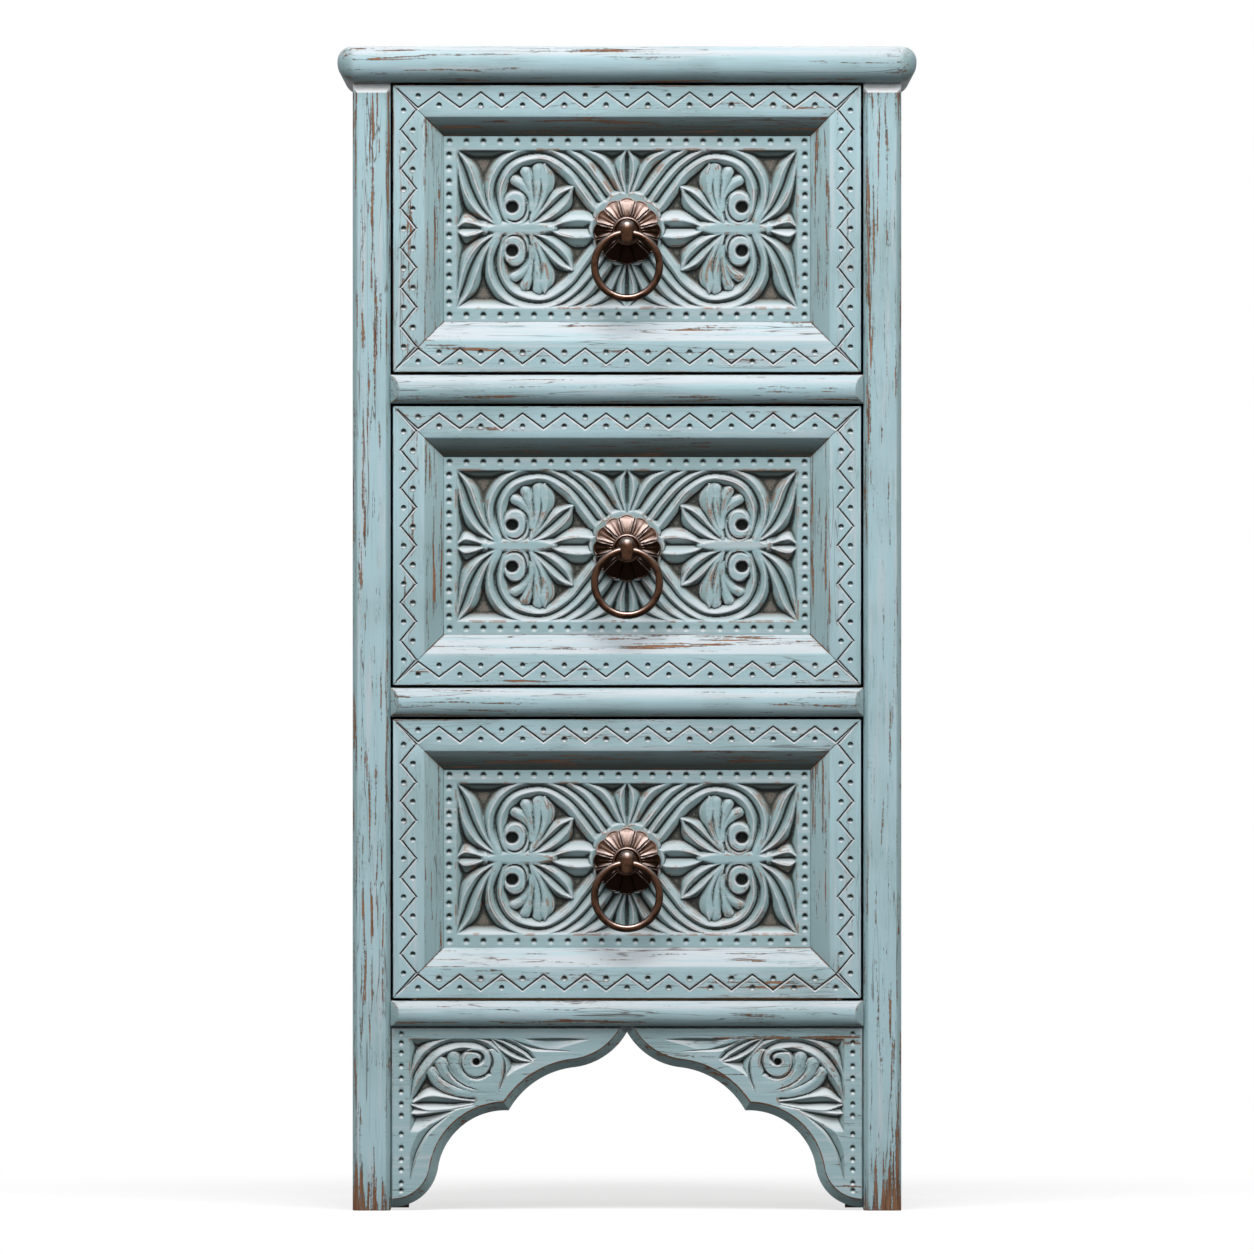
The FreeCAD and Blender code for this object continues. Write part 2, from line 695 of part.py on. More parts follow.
def runners():
    """Six runners with their screws; returns the screws and the holes that they need in each post."""
    screws = []
    holes = {(side, end): [] for side in SIDES for end in ("front", "rear")}
    for tier in TIERS:
        for side, sign in SIDES.items():
            strip = box(
                f"{tier} {side} runner strip",
                mirrored(side, "runner_inner", "opening"),
                ("runner_start", "back_rail_front"),
                (f"{tier}_rail_top - runner_height", f"{tier}_rail_top"),
            )
            cuts = []
            for end, depth in runner_screw_places().items():
                head = (f"{sign} * runner_inner", depth, f"{tier}_rail_top - runner_height / 2")
                name = f"{tier} {side} {end} runner screw"
                hole = screw(f"{name} hole", "x", head, sign, "runner_screw_length", "joint_clearance")
                screws.append(screw(name, "x", head, sign, "runner_screw_length"))
                holes[side, end].append(hole)
                cuts.append(hole)
            keep(f"{tier}_{side}_runner", cut(f"{tier} {side} runner", strip, cuts))
    keep("runner_screws", group("runner screws", screws))
    return holes


def kickers():
    """The strips under the top board that keep the upper drawer level; returns the holes in the board."""
    strips, screws, holes = [], [], []
    for side, sign in SIDES.items():
        strip = box(
            f"{side} kicker strip",
            mirrored(side, "runner_inner", "opening"),
            ("kicker_start", "back_rail_front"),
            ("carcass_height - runner_height", "carcass_height"),
        )
        cuts = []
        depths = {
            "front": "kicker_start + top_screw_inset",
            "rear": "back_rail_front - top_screw_inset",
        }
        for end, depth in depths.items():
            head = (f"{sign} * (opening - runner_width / 2)", depth, "carcass_height - runner_height")
            name = f"{side} {end} top screw"
            hole = screw(f"{name} hole", "z", head, 1, "top_screw_length", "joint_clearance")
            screws.append(screw(name, "z", head, 1, "top_screw_length"))
            cuts.append(hole)
        strips.append(cut(f"{side} kicker", strip, cuts))
        holes += cuts
    keep("top_kickers", group("top kickers", strips))
    keep("top_screws", group("top screws", screws))
    return holes


def drawer_stops():
    blocks = [
        box(
            f"{tier} {side} stop",
            mirrored(side, "runner_inner", "opening"),
            ("back_rail_front - stop_length", "back_rail_front"),
            (f"{tier}_rail_top", f"{tier}_rail_top + stop_height"),
        )
        for tier in TIERS
        for side in SIDES
    ]
    keep("drawer_stops", group("drawer stops", blocks))


# Drawer fronts

def frame_member(label, length):
    """A mitred frame member along X, its outer edge at height 0 and its face at depth 0."""
    member = body(label)
    groove_floor = "member_width - panel_tongue - joint_clearance"
    groove_front = "bevel_drop + tongue_setback - joint_clearance"
    groove_back = "bevel_drop + tongue_setback + tongue_thickness + joint_clearance"
    section = [
        ("0", "0"),
        ("0", "frame_flat"),
        ("bevel_drop", "member_width"),
        (groove_front, "member_width"),
        (groove_front, groove_floor),
        (groove_back, groove_floor),
        (groove_back, "member_width"),
        ("frame_thickness", "member_width"),
        ("frame_thickness", "0"),
    ]
    name = label.replace(" ", "_")
    pad(member, outline(member, f"{name}_section", "YZ", section), length, centred=True)
    for side, sign in SIDES.items():
        end = f"{sign} * ({length}) / 2"
        mitre = [
            (end, "0"),
            (end, "member_width"),
            (f"{end} - {sign} * member_width", "member_width"),
        ]
        pocket_through(member, outline(member, f"{name}_{side}_mitre", "XZ", mitre))
    return member


def drawer_levels(tier):
    """Lower edge, top edge and bottom board of a drawer's box."""
    base = f"{tier}_rail_top + slide_clearance"
    return base, f"{base} + {tier}_front_height - box_headroom", f"{base} + bottom_lift"


def side_tongue(side, tier, label, slack):
    """The tongue of a drawer side, or with some slack the groove that it fits."""
    _, head, _ = drawer_levels(tier)
    middle = "box_inner + box_thickness / 2"
    return box(
        label,
        mirrored(side, f"{middle} - box_tongue_width / 2 - {slack}", f"{middle} + box_tongue_width / 2 + {slack}"),
        (f"frame_back - box_tongue - {slack}", "frame_back"),
        (f"{tier}_front_bottom + frame_flat - {slack}", f"{head} + {slack}"),
    )


def drawer_frame(tier):
    """Four mitred members, grooved behind for the drawer's sides and bottom."""
    _, _, floor = drawer_levels(tier)
    width, height = "2 * front_half", f"{tier}_front_height"
    middle = f"({tier}_front_top + {tier}_front_bottom) / 2"
    spots = {
        "bottom": (width, 0, ("0", "face", f"{tier}_front_bottom")),
        "top": (width, 180, ("0", "face", f"{tier}_front_top")),
        "left": (height, 90, ("-front_half", "face", middle)),
        "right": (height, -90, ("front_half", "face", middle)),
    }
    bottom_groove = box(
        f"{tier} front bottom groove",
        ("-(bottom_half + joint_clearance)", "bottom_half + joint_clearance"),
        ("frame_back - bottom_groove", "frame_back"),
        (f"{floor} - joint_clearance", f"{floor} + bottom_thickness + joint_clearance"),
    )
    members = []
    for where, (length, turn, start) in spots.items():
        member = frame_member(f"{tier} {where} member", length)
        member.Placement = Placement(Vector(), Rotation(Vector(0, 1, 0), turn))
        for axis, value in zip("xyz", start):
            member.setExpression(f"Placement.Base.{axis}", formula(value))
        cuts = [] if where == "top" else [bottom_groove]
        if where in SIDES:
            cuts.append(side_tongue(where, tier, f"{tier} {where} front groove", "joint_clearance"))
        members.append(cut(f"{tier} {where} frame member", member, cuts) if cuts else member)
    keep(f"{tier}_drawer_frame", group(f"{tier} drawer frame", members))


def pull_height(tier):
    return f"({tier}_front_top + {tier}_front_bottom) / 2 - pull_drop"


def carved_panel(tier):
    """Panel with a sunk field for the carving and a round boss that the pull sits on."""
    low = f"{tier}_front_bottom + member_width + joint_clearance"
    high = f"{tier}_front_top - member_width - joint_clearance"
    slab = box(f"{tier} panel slab", ("-panel_half", "panel_half"), ("panel_face", "panel_back"), (low, high))
    tongue = box(
        f"{tier} panel tongue",
        ("-(panel_half + panel_tongue)", "panel_half + panel_tongue"),
        ("tongue_front", "tongue_front + tongue_thickness"),
        (f"{low} - panel_tongue", f"{high} + panel_tongue"),
    )
    field = box(
        f"{tier} panel field",
        ("-(panel_half - panel_border)", "panel_half - panel_border"),
        ("panel_face", "panel_face + carving_depth"),
        (f"{low} + panel_border", f"{high} - panel_border"),
    )
    sunk = cut(f"{tier} panel sunk", join(f"{tier} panel whole", [slab, tongue]), [field])
    middle = pull_height(tier)
    boss = rod(f"{tier} panel boss", "y", ("0", "panel_face", middle), "carving_depth", "boss_radius")
    bore = rod(f"{tier} panel bore", "y", ("0", "panel_face", middle), "panel_thickness", "bolt_hole")
    keep(f"{tier}_drawer_panel", cut(f"{tier} panel", join(f"{tier} panel bossed", [sunk, boss]), [bore]))


# Drawer boxes

def drawer_box(tier):
    base, head, floor = drawer_levels(tier)
    back_y = ("box_end - back_inset - box_thickness", "box_end - back_inset")
    bottom_z = (floor, f"{floor} + bottom_thickness")
    back_z = (f"{floor} + bottom_thickness", head)
    for side in SIDES:
        name = f"{tier} drawer {side} side"
        board = box(
            f"{name} board",
            mirrored(side, "box_inner", "front_half"),
            ("frame_back", "box_end"),
            (base, head),
        )
        tongue = side_tongue(side, tier, f"{name} tongue", "0")
        bottom_groove = box(
            f"{name} bottom groove",
            mirrored(side, "box_inner", "box_inner + bottom_groove"),
            ("frame_back", "box_end"),
            (f"{bottom_z[0]} - joint_clearance", f"{bottom_z[1]} + joint_clearance"),
        )
        dado = mortise(f"{name} dado", mirrored(side, "box_inner", "box_inner + dado_depth"), back_y, back_z)
        whole = join(f"{name} whole", [board, tongue])
        keep(f"{tier}_drawer_{side}_side", cut(name, whole, [bottom_groove, dado]))
    back_x = ("-(box_inner + dado_depth)", "box_inner + dado_depth")
    keep(f"{tier}_drawer_back", box(f"{tier} drawer back", back_x, back_y, back_z))
    bottom_y = ("frame_back - bottom_groove + joint_clearance", "box_end - back_inset")
    bottom_x = ("-bottom_half", "bottom_half")
    keep(f"{tier}_drawer_bottom", box(f"{tier} drawer bottom", bottom_x, bottom_y, bottom_z))


# Ring pulls

def rosette(tier):
    """Domed back plate with notches between its petals."""
    plate = body(f"{tier} rosette")
    section = [
        ("bolt_hole", "0"),
        ("rosette_radius", "0"),
        ("rosette_radius", "rosette_rim"),
        ("collar_radius", "rosette_height"),
        ("bolt_hole", "rosette_height"),
    ]
    rise = "(rosette_height - rosette_rim)"
    run = "(rosette_radius - collar_radius)"
    dome = f"({run}^2 + {rise}^2) / (2 * {rise})"
    sketch = outline(plate, f"{tier}_rosette_section", "XZ", section, {2: (dome, -1)})
    turned = plate.newObject("PartDesign::Revolution", f"{tier}_rosette_dome")
    turned.Profile = sketch
    turned.ReferenceAxis = (sketch, ["V_Axis"])
    doc.recompute()
    notch = plate.newObject("Sketcher::SketchObject", f"{tier}_rosette_notch")
    support = next(f for f in plate.Origin.OriginFeatures if f.Role == "XY_Plane")
    notch.AttachmentSupport = [(support, "")]
    notch.MapMode = "FlatFace"
    rim = Vector(measure("rosette_radius"), 0, 0)
    notch.addGeometry(Part.Circle(rim, Vector(0, 0, 1), measure("lobe_notch")), False)
    notch.addConstraint(Sketcher.Constraint("PointOnObject", 0, 3, -1))
    limits = {
        "reach": (Sketcher.Constraint("DistanceX", -1, 1, 0, 3, rim.x), "rosette_radius"),
        "notch": (Sketcher.Constraint("Radius", 0, measure("lobe_notch")), "lobe_notch"),
    }
    for name, (limit, size) in limits.items():
        notch.renameConstraint(notch.addConstraint(limit), name)
        notch.setExpression(f"Constraints.{name}", formula(size))
    single = pocket_through(plate, notch)
    lobes = plate.newObject("PartDesign::PolarPattern", f"{tier}_rosette_lobes")
    lobes.Originals = [single]
    lobes.Axis = (notch, ["N_Axis"])
    lobes.Angle = 360
    lobes.setExpression("Occurrences", formula("rosette_lobes"))
    plate.Tip = lobes
    plate.Placement = Placement(Vector(), Rotation(Vector(1, 0, 0), 90))
    for axis, value in zip("xyz", ("0", "panel_face", pull_height(tier))):
        plate.setExpression(f"Placement.Base.{axis}", formula(value))
    keep(f"{tier}_pull_rosette", plate)


def knob(tier):
    """Knob with a tail and an eye for the ring, in one piece with its collar and bolt."""
    name = f"{tier} knob"
    axis_z = pull_height(tier)
    eye_z = f"{axis_z} - eye_drop"
    tail_z = f"{eye_z} - knob_tail"
    parts = [
        rod(f"{name} collar", "y", ("0", "collar_top", axis_z), "collar_thickness", "collar_radius"),
        rod(f"{name} neck", "y", ("0", "eye_depth", axis_z), "knob_radius", "neck_radius"),
        ball(f"{name} head", ("0", "eye_depth", eye_z), "knob_radius"),
        taper(f"{name} tail", "z", ("0", "eye_depth", tail_z), "knob_tail", "tail_radius", "knob_radius"),
        ball(f"{name} tip", ("0", "eye_depth", tail_z), "tail_radius"),
        rod(
            f"{name} bolt",
            "y",
            ("0", "rosette_top", axis_z),
            "nut_face + nut_height + bolt_end - rosette_top",
            "bolt_radius",
        ),
    ]
    mouth = "eye_throat_radius + eye_flare"
    flare = "knob_radius - eye_throat"
    eye = [
        rod(f"{name} eye", "x", ("-knob_radius", "eye_depth", eye_z), "2 * knob_radius", "eye_throat_radius"),
        taper(f"{name} right mouth", "x", ("eye_throat", "eye_depth", eye_z), flare, "eye_throat_radius", mouth),
        taper(f"{name} left mouth", "x", ("-knob_radius", "eye_depth", eye_z), flare, mouth, "eye_throat_radius"),
    ]
    keep(f"{tier}_pull_knob", cut(name, join(f"{name} whole", parts), eye))


def ring(tier):
    hoop = add("Part::Torus", f"{tier} ring")
    hoop.setExpression("Radius1", formula("ring_radius"))
    hoop.setExpression("Radius2", formula("wire_radius"))
    place(hoop, "y", ("0", "eye_depth", f"{pull_height(tier)} - eye_drop - ring_radius"))
    keep(f"{tier}_pull_ring", hoop)


def pull_nut(tier):
    """Washer and nut on the bolt inside the drawer."""
    axis_z = pull_height(tier)
    washer = rod(f"{tier} washer disc", "y", ("0", "panel_back", axis_z), "washer_thickness", "washer_radius")
    hexagon = add("Part::Prism", f"{tier} nut hexagon")
    hexagon.Polygon = 6
    hexagon.setExpression("Circumradius", formula("nut_radius"))
    hexagon.setExpression("Height", formula("nut_height"))
    place(hexagon, "y", ("0", "nut_face", axis_z))
    bore = rod(
        f"{tier} nut bore",
        "y",
        ("0", "panel_back", axis_z),
        "washer_thickness + nut_height",
        "bolt_hole",
    )
    pair = [cut(f"{tier} washer", washer, [bore]), cut(f"{tier} nut", hexagon, [bore])]
    keep(f"{tier}_pull_nut", group(f"{tier} pull nut", pair))


def export():
    """Write every sub-part once the whole document has come out sound."""
    doc.recompute()
    for piece in doc.Objects:
        if {"Invalid", "Error"} & set(piece.State):
            raise ValueError(f"{piece.Label} failed: {piece.State}")
    os.makedirs("parts", exist_ok=True)
    for label, piece in nodes.items():
        if piece.Shape.isNull() or not piece.Shape.isValid():
            raise ValueError(f"{label} has no sound shape")
    for label, piece in nodes.items():
        piece.Shape.exportStep(f"parts/{label}.step")


fill_sheet()
post_holes = runners()
top_holes = kickers()
top_board(top_holes)
posts(post_holes)
front_rails()
spandrels()
corner_blocks()
side_frames()
back_frame()
drawer_stops()
for drawer in TIERS:
    drawer_frame(drawer)
    carved_panel(drawer)
    drawer_box(drawer)
    rosette(drawer)
    knob(drawer)
    ring(drawer)
    pull_nut(drawer)
export()
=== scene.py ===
import math

import bmesh
import bpy
import numpy as np
from bpy.props import FloatProperty, FloatVectorProperty, PointerProperty
from bpy.types import Operator, Panel, PropertyGroup
from mathutils import Matrix, Vector


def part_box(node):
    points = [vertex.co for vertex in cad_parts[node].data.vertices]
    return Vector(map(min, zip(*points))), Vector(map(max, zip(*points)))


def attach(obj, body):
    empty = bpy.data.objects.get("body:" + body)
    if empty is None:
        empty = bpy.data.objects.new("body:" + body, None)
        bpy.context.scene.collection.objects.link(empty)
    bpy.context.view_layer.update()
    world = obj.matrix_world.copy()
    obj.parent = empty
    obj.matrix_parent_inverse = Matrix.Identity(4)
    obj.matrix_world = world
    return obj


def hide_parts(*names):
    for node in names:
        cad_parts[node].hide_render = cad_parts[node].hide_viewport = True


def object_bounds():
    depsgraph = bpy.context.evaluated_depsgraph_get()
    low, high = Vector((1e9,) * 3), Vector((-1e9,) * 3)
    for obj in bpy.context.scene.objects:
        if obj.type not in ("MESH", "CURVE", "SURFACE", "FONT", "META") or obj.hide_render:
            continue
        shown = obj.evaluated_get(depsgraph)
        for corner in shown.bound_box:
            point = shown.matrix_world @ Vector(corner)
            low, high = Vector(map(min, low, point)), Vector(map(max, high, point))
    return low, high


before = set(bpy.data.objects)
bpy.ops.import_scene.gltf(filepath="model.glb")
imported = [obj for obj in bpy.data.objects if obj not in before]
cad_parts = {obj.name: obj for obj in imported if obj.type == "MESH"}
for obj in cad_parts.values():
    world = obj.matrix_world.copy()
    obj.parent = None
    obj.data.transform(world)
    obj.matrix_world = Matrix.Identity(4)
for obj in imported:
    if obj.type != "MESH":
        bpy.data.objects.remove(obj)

bl_info = {
    "name": "Carved three-drawer chest",
    "version": (1, 0, 0),
    "blender": (4, 5, 0),
    "location": "3D View > Sidebar > Chest",
    "description": "Builds the painted and carved chest of drawers piece by piece around its solid parts",
    "category": "Object",
}

MM = 0.001
TIERS = ("upper", "middle", "lower")
SIDES = {"left": -1, "right": 1}
CAD_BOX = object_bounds()
WELD = 0.00001
SHARP_ANGLE = math.radians(32)
RIGHT_ANGLE = math.radians(90)


# Sizes and colours that a user may change

def colour(name, description, value):
    return FloatVectorProperty(
        name=name, description=description, default=value, subtype="COLOR", size=3, min=0, max=1
    )


def length(name, description, value):
    return FloatProperty(name=name, description=description, default=value, min=0, unit="LENGTH")


def strength(name, description, value):
    return FloatProperty(name=name, description=description, default=value)


class ChestFinish(PropertyGroup):
    """Colours of the chest's finishes."""

    paint: colour("Paint", "Blue paint on the show wood", (0.390, 0.555, 0.605))
    # chalk: real streaks and dry-brushed crests, also painted light on faces that point up
    chalk_and_highlight: colour("Chalky paint", "Pale paint brushed over crests and long streaks", (0.545, 0.58, 0.61))
    # dull: older paint in patches, also painted shade on sideways faces, deep carving and the carved pieces
    dull: colour("Dull paint", "Older, greener paint that shows in patches", (0.26, 0.37, 0.375))
    # grime: real dirt in checks and hollows, and painted shade under things, deep in the carving and in the
    # eyes
    grime_and_shade: colour("Grime", "Dirt in hollows and under edges", (0.035, 0.045, 0.040))
    # pitch: black dirt, with painted shade, at the bottom of the cuts; also the corner blocks' dark grain
    pitch: colour("Deep dirt", "Blackest dirt, at the bottom of the cuts", (0.008, 0.009, 0.008))
    # painted highlight colour, on top bevels and on carving and grooves that face up
    bright: colour("Bright paint", "Palest paint, on bevels and carving that face up", (0.95, 0.97, 0.98))
    bare: colour("Bare wood", "Wood where the paint is rubbed through", (0.30, 0.15, 0.082))
    # dark wood: cracks and flakes, also painted shade on bare wood that faces down and on the corner blocks
    dark: colour("Dark wood", "Old wood in cracks and round flakes", (0.075, 0.040, 0.028))
    ground: colour("Carved ground", "Worn wood behind the carving", (0.33, 0.255, 0.20))
    plain_wood: colour("Plain wood", "Unpainted wood inside the carcass", (0.42, 0.27, 0.15))
    plain_wood_dark: colour("Plain wood grain", "Dark grain of the unpainted wood", (0.22, 0.12, 0.06))
    sheet_wood: colour("Sheet wood", "Drawer bottoms and back", (0.50, 0.36, 0.22))
    sheet_wood_dark: colour("Sheet wood grain", "Dark grain of the sheet wood", (0.32, 0.20, 0.11))
    bronze: colour("Bronze", "Brown bronze of the pulls", (0.088, 0.043, 0.026))
    # rubbed bronze: real rubbing on crests, and painted highlight on what faces up
    rubbed_and_lit_bronze: colour("Rubbed bronze", "Bronze where hands and light reach it", (0.42, 0.335, 0.31))
    # patina in the hollows, also painted shade on undersides and on the plate's lower half
    patina_and_shade: colour("Patina", "Dark patina in the pulls' hollows", (0.010, 0.005, 0.003))
    steel: colour("Steel", "Zinc-plated screws and nuts", (0.50, 0.50, 0.48))


class ChestCarving(PropertyGroup):
    """Sizes of the carved and scored work."""

    cell: length("Carving cell", "Spacing of the points of a carved surface", 0.0006)
    groove_width: length("Groove width", "Zigzag groove on the drawer frames", 0.0020)
    groove_depth: length("Groove depth", "Zigzag groove on the drawer frames", 0.0012)
    zigzag_pitch: length("Zigzag pitch", "Length of one zigzag along a frame member, about", 0.0276)
    pit_width: length("Pit width", "Punched dots on the drawer frames", 0.0038)
    easing: length("Easing", "Rounding of the arrises", 0.0005)


class ChestStage(PropertyGroup):
    """Camera and light."""

    camera_distance: length("Camera distance", "Camera to the drawer fronts", 14.0)
    camera_height: length("Camera height", "Camera above the floor", 0.401)
    view_width: length("View width", "Width of the picture at the drawer fronts", 0.8615)
    key_power: strength("Key light", "Soft light above the front, in watts", 98)
    fill_power: strength("Fill light", "Wide light in front, in watts", 36)
    back_power: strength("Back light", "Wide light behind, in watts", 22)
    sky: strength("Sky", "Strength of the even light from all round", 0.12)


# Carving, as heights in millimetres over flat spots: 0 is the board's face, negative is cut away

GROUND = -5.6
FORM_TOP = -0.2
WALL_SLOPE = 2.2
DISC_SLOPE = 3.0
ROOT_SHARE = 0.15
CURVE_STEPS = 10
FULL_LEAF = 5.0
FULL_GOUGE = 2.5
THIN = 0.05
PIT_ROUND = 0.8
BLUR_REACH = 3
TOOL_SOFTNESS = 0.30
CREST_REACH = 0.9
CREST_FULL = 0.40
HOLLOW_REACH = 2.0
HOLLOW_FULL = 0.38


def curve(points):
    """Smooth line through points."""
    points = np.array(points, float)
    ends = np.vstack([2 * points[0] - points[1], points, 2 * points[-1] - points[-2]])
    t = np.linspace(0, 1, CURVE_STEPS, endpoint=False)[:, None]
    runs = []
    for a, b, c, d in zip(ends, ends[1:], ends[2:], ends[3:]):
        bend = 2 * a - 5 * b + 4 * c - d
        twist = 3 * b - a - 3 * c + d
        runs.append(0.5 * (2 * b + (c - a) * t + bend * t ** 2 + twist * t ** 3))
    return np.vstack(runs + [points[-1:]])


def along(spots, line):
    """For each spot: distance to a line, whether it is on the line's left, and the share of the way along."""
    runs = np.diff(line, axis=0)
    sizes = np.hypot(runs[:, 0], runs[:, 1])
    before = np.concatenate([[0], np.cumsum(sizes)])
    gap = np.full(len(spots), np.inf)
    turn = np.zeros(len(spots))
    share = np.zeros(len(spots))
    for start, run, size, done in zip(line, runs, sizes, before):
        reach = spots - start
        t = np.clip((reach @ run) / size ** 2, 0, 1)
        off = reach - t[:, None] * run
        this = np.hypot(off[:, 0], off[:, 1])
        nearer = this < gap
        gap[nearer] = this[nearer]
        turn[nearer] = run[0] * reach[nearer, 1] - run[1] * reach[nearer, 0]
        share[nearer] = (done + t[nearer] * size) / before[-1]
    return gap, turn > 0, share


def swell(share, widths):
    """Half width along a line, from a few widths at even steps."""
    line = curve(np.column_stack([np.linspace(0, 1, len(widths)), widths]))
    return np.maximum(np.interp(share, line[:, 0], line[:, 1]), THIN)


def ridge(spots, line, left, right=None, top=FORM_TOP, drop=2.6, far_drop=None, root=0.02, wall=WALL_SLOPE):
    """A raised line that falls by drop on its left and far_drop on its right, then by wall to the ground."""
    gap, on_left, share = along(spots, curve(line))
    half = np.where(on_left, swell(share, left), swell(share, right or left))
    fall = np.where(on_left, drop, drop if far_drop is None else far_drop)
    fall = fall * np.clip(share / root, ROOT_SHARE, 1)
    return top - np.where(gap < half, fall * gap / half, fall + wall * (gap - half))


def leaf(spots, line, left, right=None, top=FORM_TOP, valley=3.4, drop=3.6):
    """Two lobes with a valley between them; left and right are half widths along the valley."""
    gap, on_left, share = along(spots, curve(line))
    half = np.where(on_left, swell(share, left), swell(share, right or left))
    out = gap / half
    small = np.minimum(1, half / FULL_LEAF)
    inner = valley * small * (1 - 2 * out)
    outer = drop * small * (2 * out - 1)
    beyond = drop * small + WALL_SLOPE * (gap - half)
    return top - np.where(out < 0.5, inner, np.where(out < 1, outer, beyond))


def gouge(height, spots, line, left, depth, right=None):
    """A valley cut into the face, deepest on its line."""
    gap, on_left, share = along(spots, curve(line))
    near, far = swell(share, left), swell(share, right or left)
    deep = depth * np.minimum(1, np.minimum(near, far) / FULL_GOUGE)
    return np.minimum(height, -deep * (1 - gap / np.where(on_left, near, far)))


def sunk(spots, corners):
    """A flat-bottomed recess with sloping walls inside a closed line."""
    line = np.array(list(corners) + [corners[0]], float)
    gap, _, _ = along(spots, line)
    inside = np.zeros(len(spots), bool)
    for (x, y), (next_x, next_y) in zip(line, line[1:]):
        crosses = (y > spots[:, 1]) != (next_y > spots[:, 1])
        rise = next_y - y if next_y != y else 1
        inside ^= crosses & (spots[:, 0] < x + (spots[:, 1] - y) * (next_x - x) / rise)
    return np.where(inside, np.maximum(GROUND, -gap), 0)


def disc(spots, centre, radius):
    return FORM_TOP - np.maximum(0, np.hypot(*(spots - centre).T) - radius) * DISC_SLOPE


def drilled(height, spots, centre, radius, floor=-9.0, wall=12.0):
    return np.minimum(height, floor + np.maximum(0, np.hypot(*(spots - centre).T) - radius) * wall)


def punched(height, spots, centres, radius, depth):
    """Round pits pressed into the flat face."""
    for centre in centres:
        gap = np.hypot(*(spots - centre).T)
        height = height - depth * np.clip(1 - gap / radius, 0, 1) ** PIT_ROUND
    return height


def softened(grid, cells):
    """A grid of heights blurred over some cells."""
    reach = int(BLUR_REACH * cells) + 1
    weights = np.exp(-0.5 * (np.arange(-reach, reach + 1) / cells) ** 2)
    weights /= weights.sum()
    for axis in (0, 1):
        size = grid.shape[axis]
        room = [(reach, reach) if axis == side else (0, 0) for side in (0, 1)]
        padded = np.pad(grid, room, mode="edge")
        grid = sum(w * np.take(padded, range(n, n + size), axis) for n, w in enumerate(weights))
    return grid


# The drawer panel, one quarter: out from the middle, and up from the middle

PANEL_HALF = (125.8, 63.5)
PANEL_BORDER = (8.4, 9.2)
BOSS_RADIUS = 22.8
BOSS_LOBE = 2.6
BOSS_LOBES = 5
# dirt round the pull's plate, with painted shadow that grows towards the bottom of it
PLATE_SHADOW = 24.6
PLATE_SHADOW_FADE = 1.2
PLATE_SHADOW_LEVEL = (0.60, 0.40)
EYE = ((79.0, 15.0), 3.7)
SCROLL_DISCS = (((77.2, 12.6), 7.0), ((76.8, 17.8), 7.0))
PANEL_RIDGES = (
    # flat middle of the scrolls
    dict(line=[(96.5, 0), (74, 0), (50.5, 0)], left=(1.0, 3.0, 3.8, 3.3, 3.8, 3.0, 1.0),
         top=0.8, drop=1.4, wall=0.8),
    # outer stem
    dict(
        line=[(88, 2), (94.6, 18), (94.2, 32.5), (87.3, 45), (76.6, 52.5), (63.2, 54.8), (50.2, 52.6),
              (37.1, 44.3), (24, 30), (14.5, 16)],
        left=(2.6, 4.4, 4.6, 4.6, 4.4, 4.2, 4.2, 4.0, 3.6),
        right=(2.4, 2.8, 3.0, 3.0, 2.8, 2.6, 2.8, 2.8, 2.6), drop=3.0, root=0.14,
    ),
    # scroll
    dict(
        line=[(75, 1.8), (84, 8), (86.9, 18.9), (86.2, 30.6), (79.4, 42), (67.6, 47.6), (54.6, 47.6),
              (40.6, 38.5), (32, 27.5), (19, 9.5)],
        left=(3.4, 3.6, 4.0, 4.0, 4.2, 4.2, 4.2, 3.8, 3.4),
        right=(2.4, 2.4, 2.6, 2.8, 3.0, 3.0, 3.0, 2.8, 2.6), root=0.14,
    ),
    # inner end of the scroll
    dict(line=[(74, 2.5), (70.4, 6), (68.9, 12.5), (70.6, 20.5)], left=(1.8, 1.6, 1.2, 0.6),
         top=-0.5, drop=1.0),
    # bands that run in under the pull
    dict(line=[(48.0, 58.0), (30.2, 47.7), (19.9, 35.4), (8, 19)], left=(3.6, 4, 4, 3.4),
         right=(2.6, 2.8, 2.6, 2.4)),
    dict(line=[(37.5, 57.0), (19.9, 50.1), (11.7, 41.6), (4.1, 25.8), (2, 20)], left=(4, 4.4, 4, 3, 2),
         right=(2.4, 2.4, 2.2, 1.8, 1.6)),
    # palm inside the scroll, and its fingers
    dict(line=[(66, 5), (60.6, 13.5), (57, 22), (54.9, 30), (54.8, 37), (56.2, 44)],
         left=(0.8, 2.6, 3.6, 4.2, 4.2, 0.4), right=(1.0, 3.6, 5.6, 7.0, 8.4, 8.0, 1.0),
         drop=2.8, far_drop=1.3, root=0.3),
    dict(line=[(63, 24), (61.4, 33), (61, 41)], left=(1.0, 3.6, 4.2), right=(1.0, 3.2, 3.4),
         top=-0.9, drop=1.0),
    dict(line=[(65.2, 13), (65.4, 23.5), (67, 32.5), (69.8, 39.4)], left=(1.6, 2.6, 3.4, 3.0),
         right=(1.6, 2.8, 3.6, 3.2), top=-1.0, drop=1.2, root=0.3),
    dict(line=[(65.8, 13), (67.2, 22.5), (71.4, 29.8), (77.4, 33.4)], left=(1.6, 2.6, 3.4, 2.8),
         right=(1.6, 2.6, 3.4, 3.0), top=-1.5, drop=1.2, root=0.3),
)
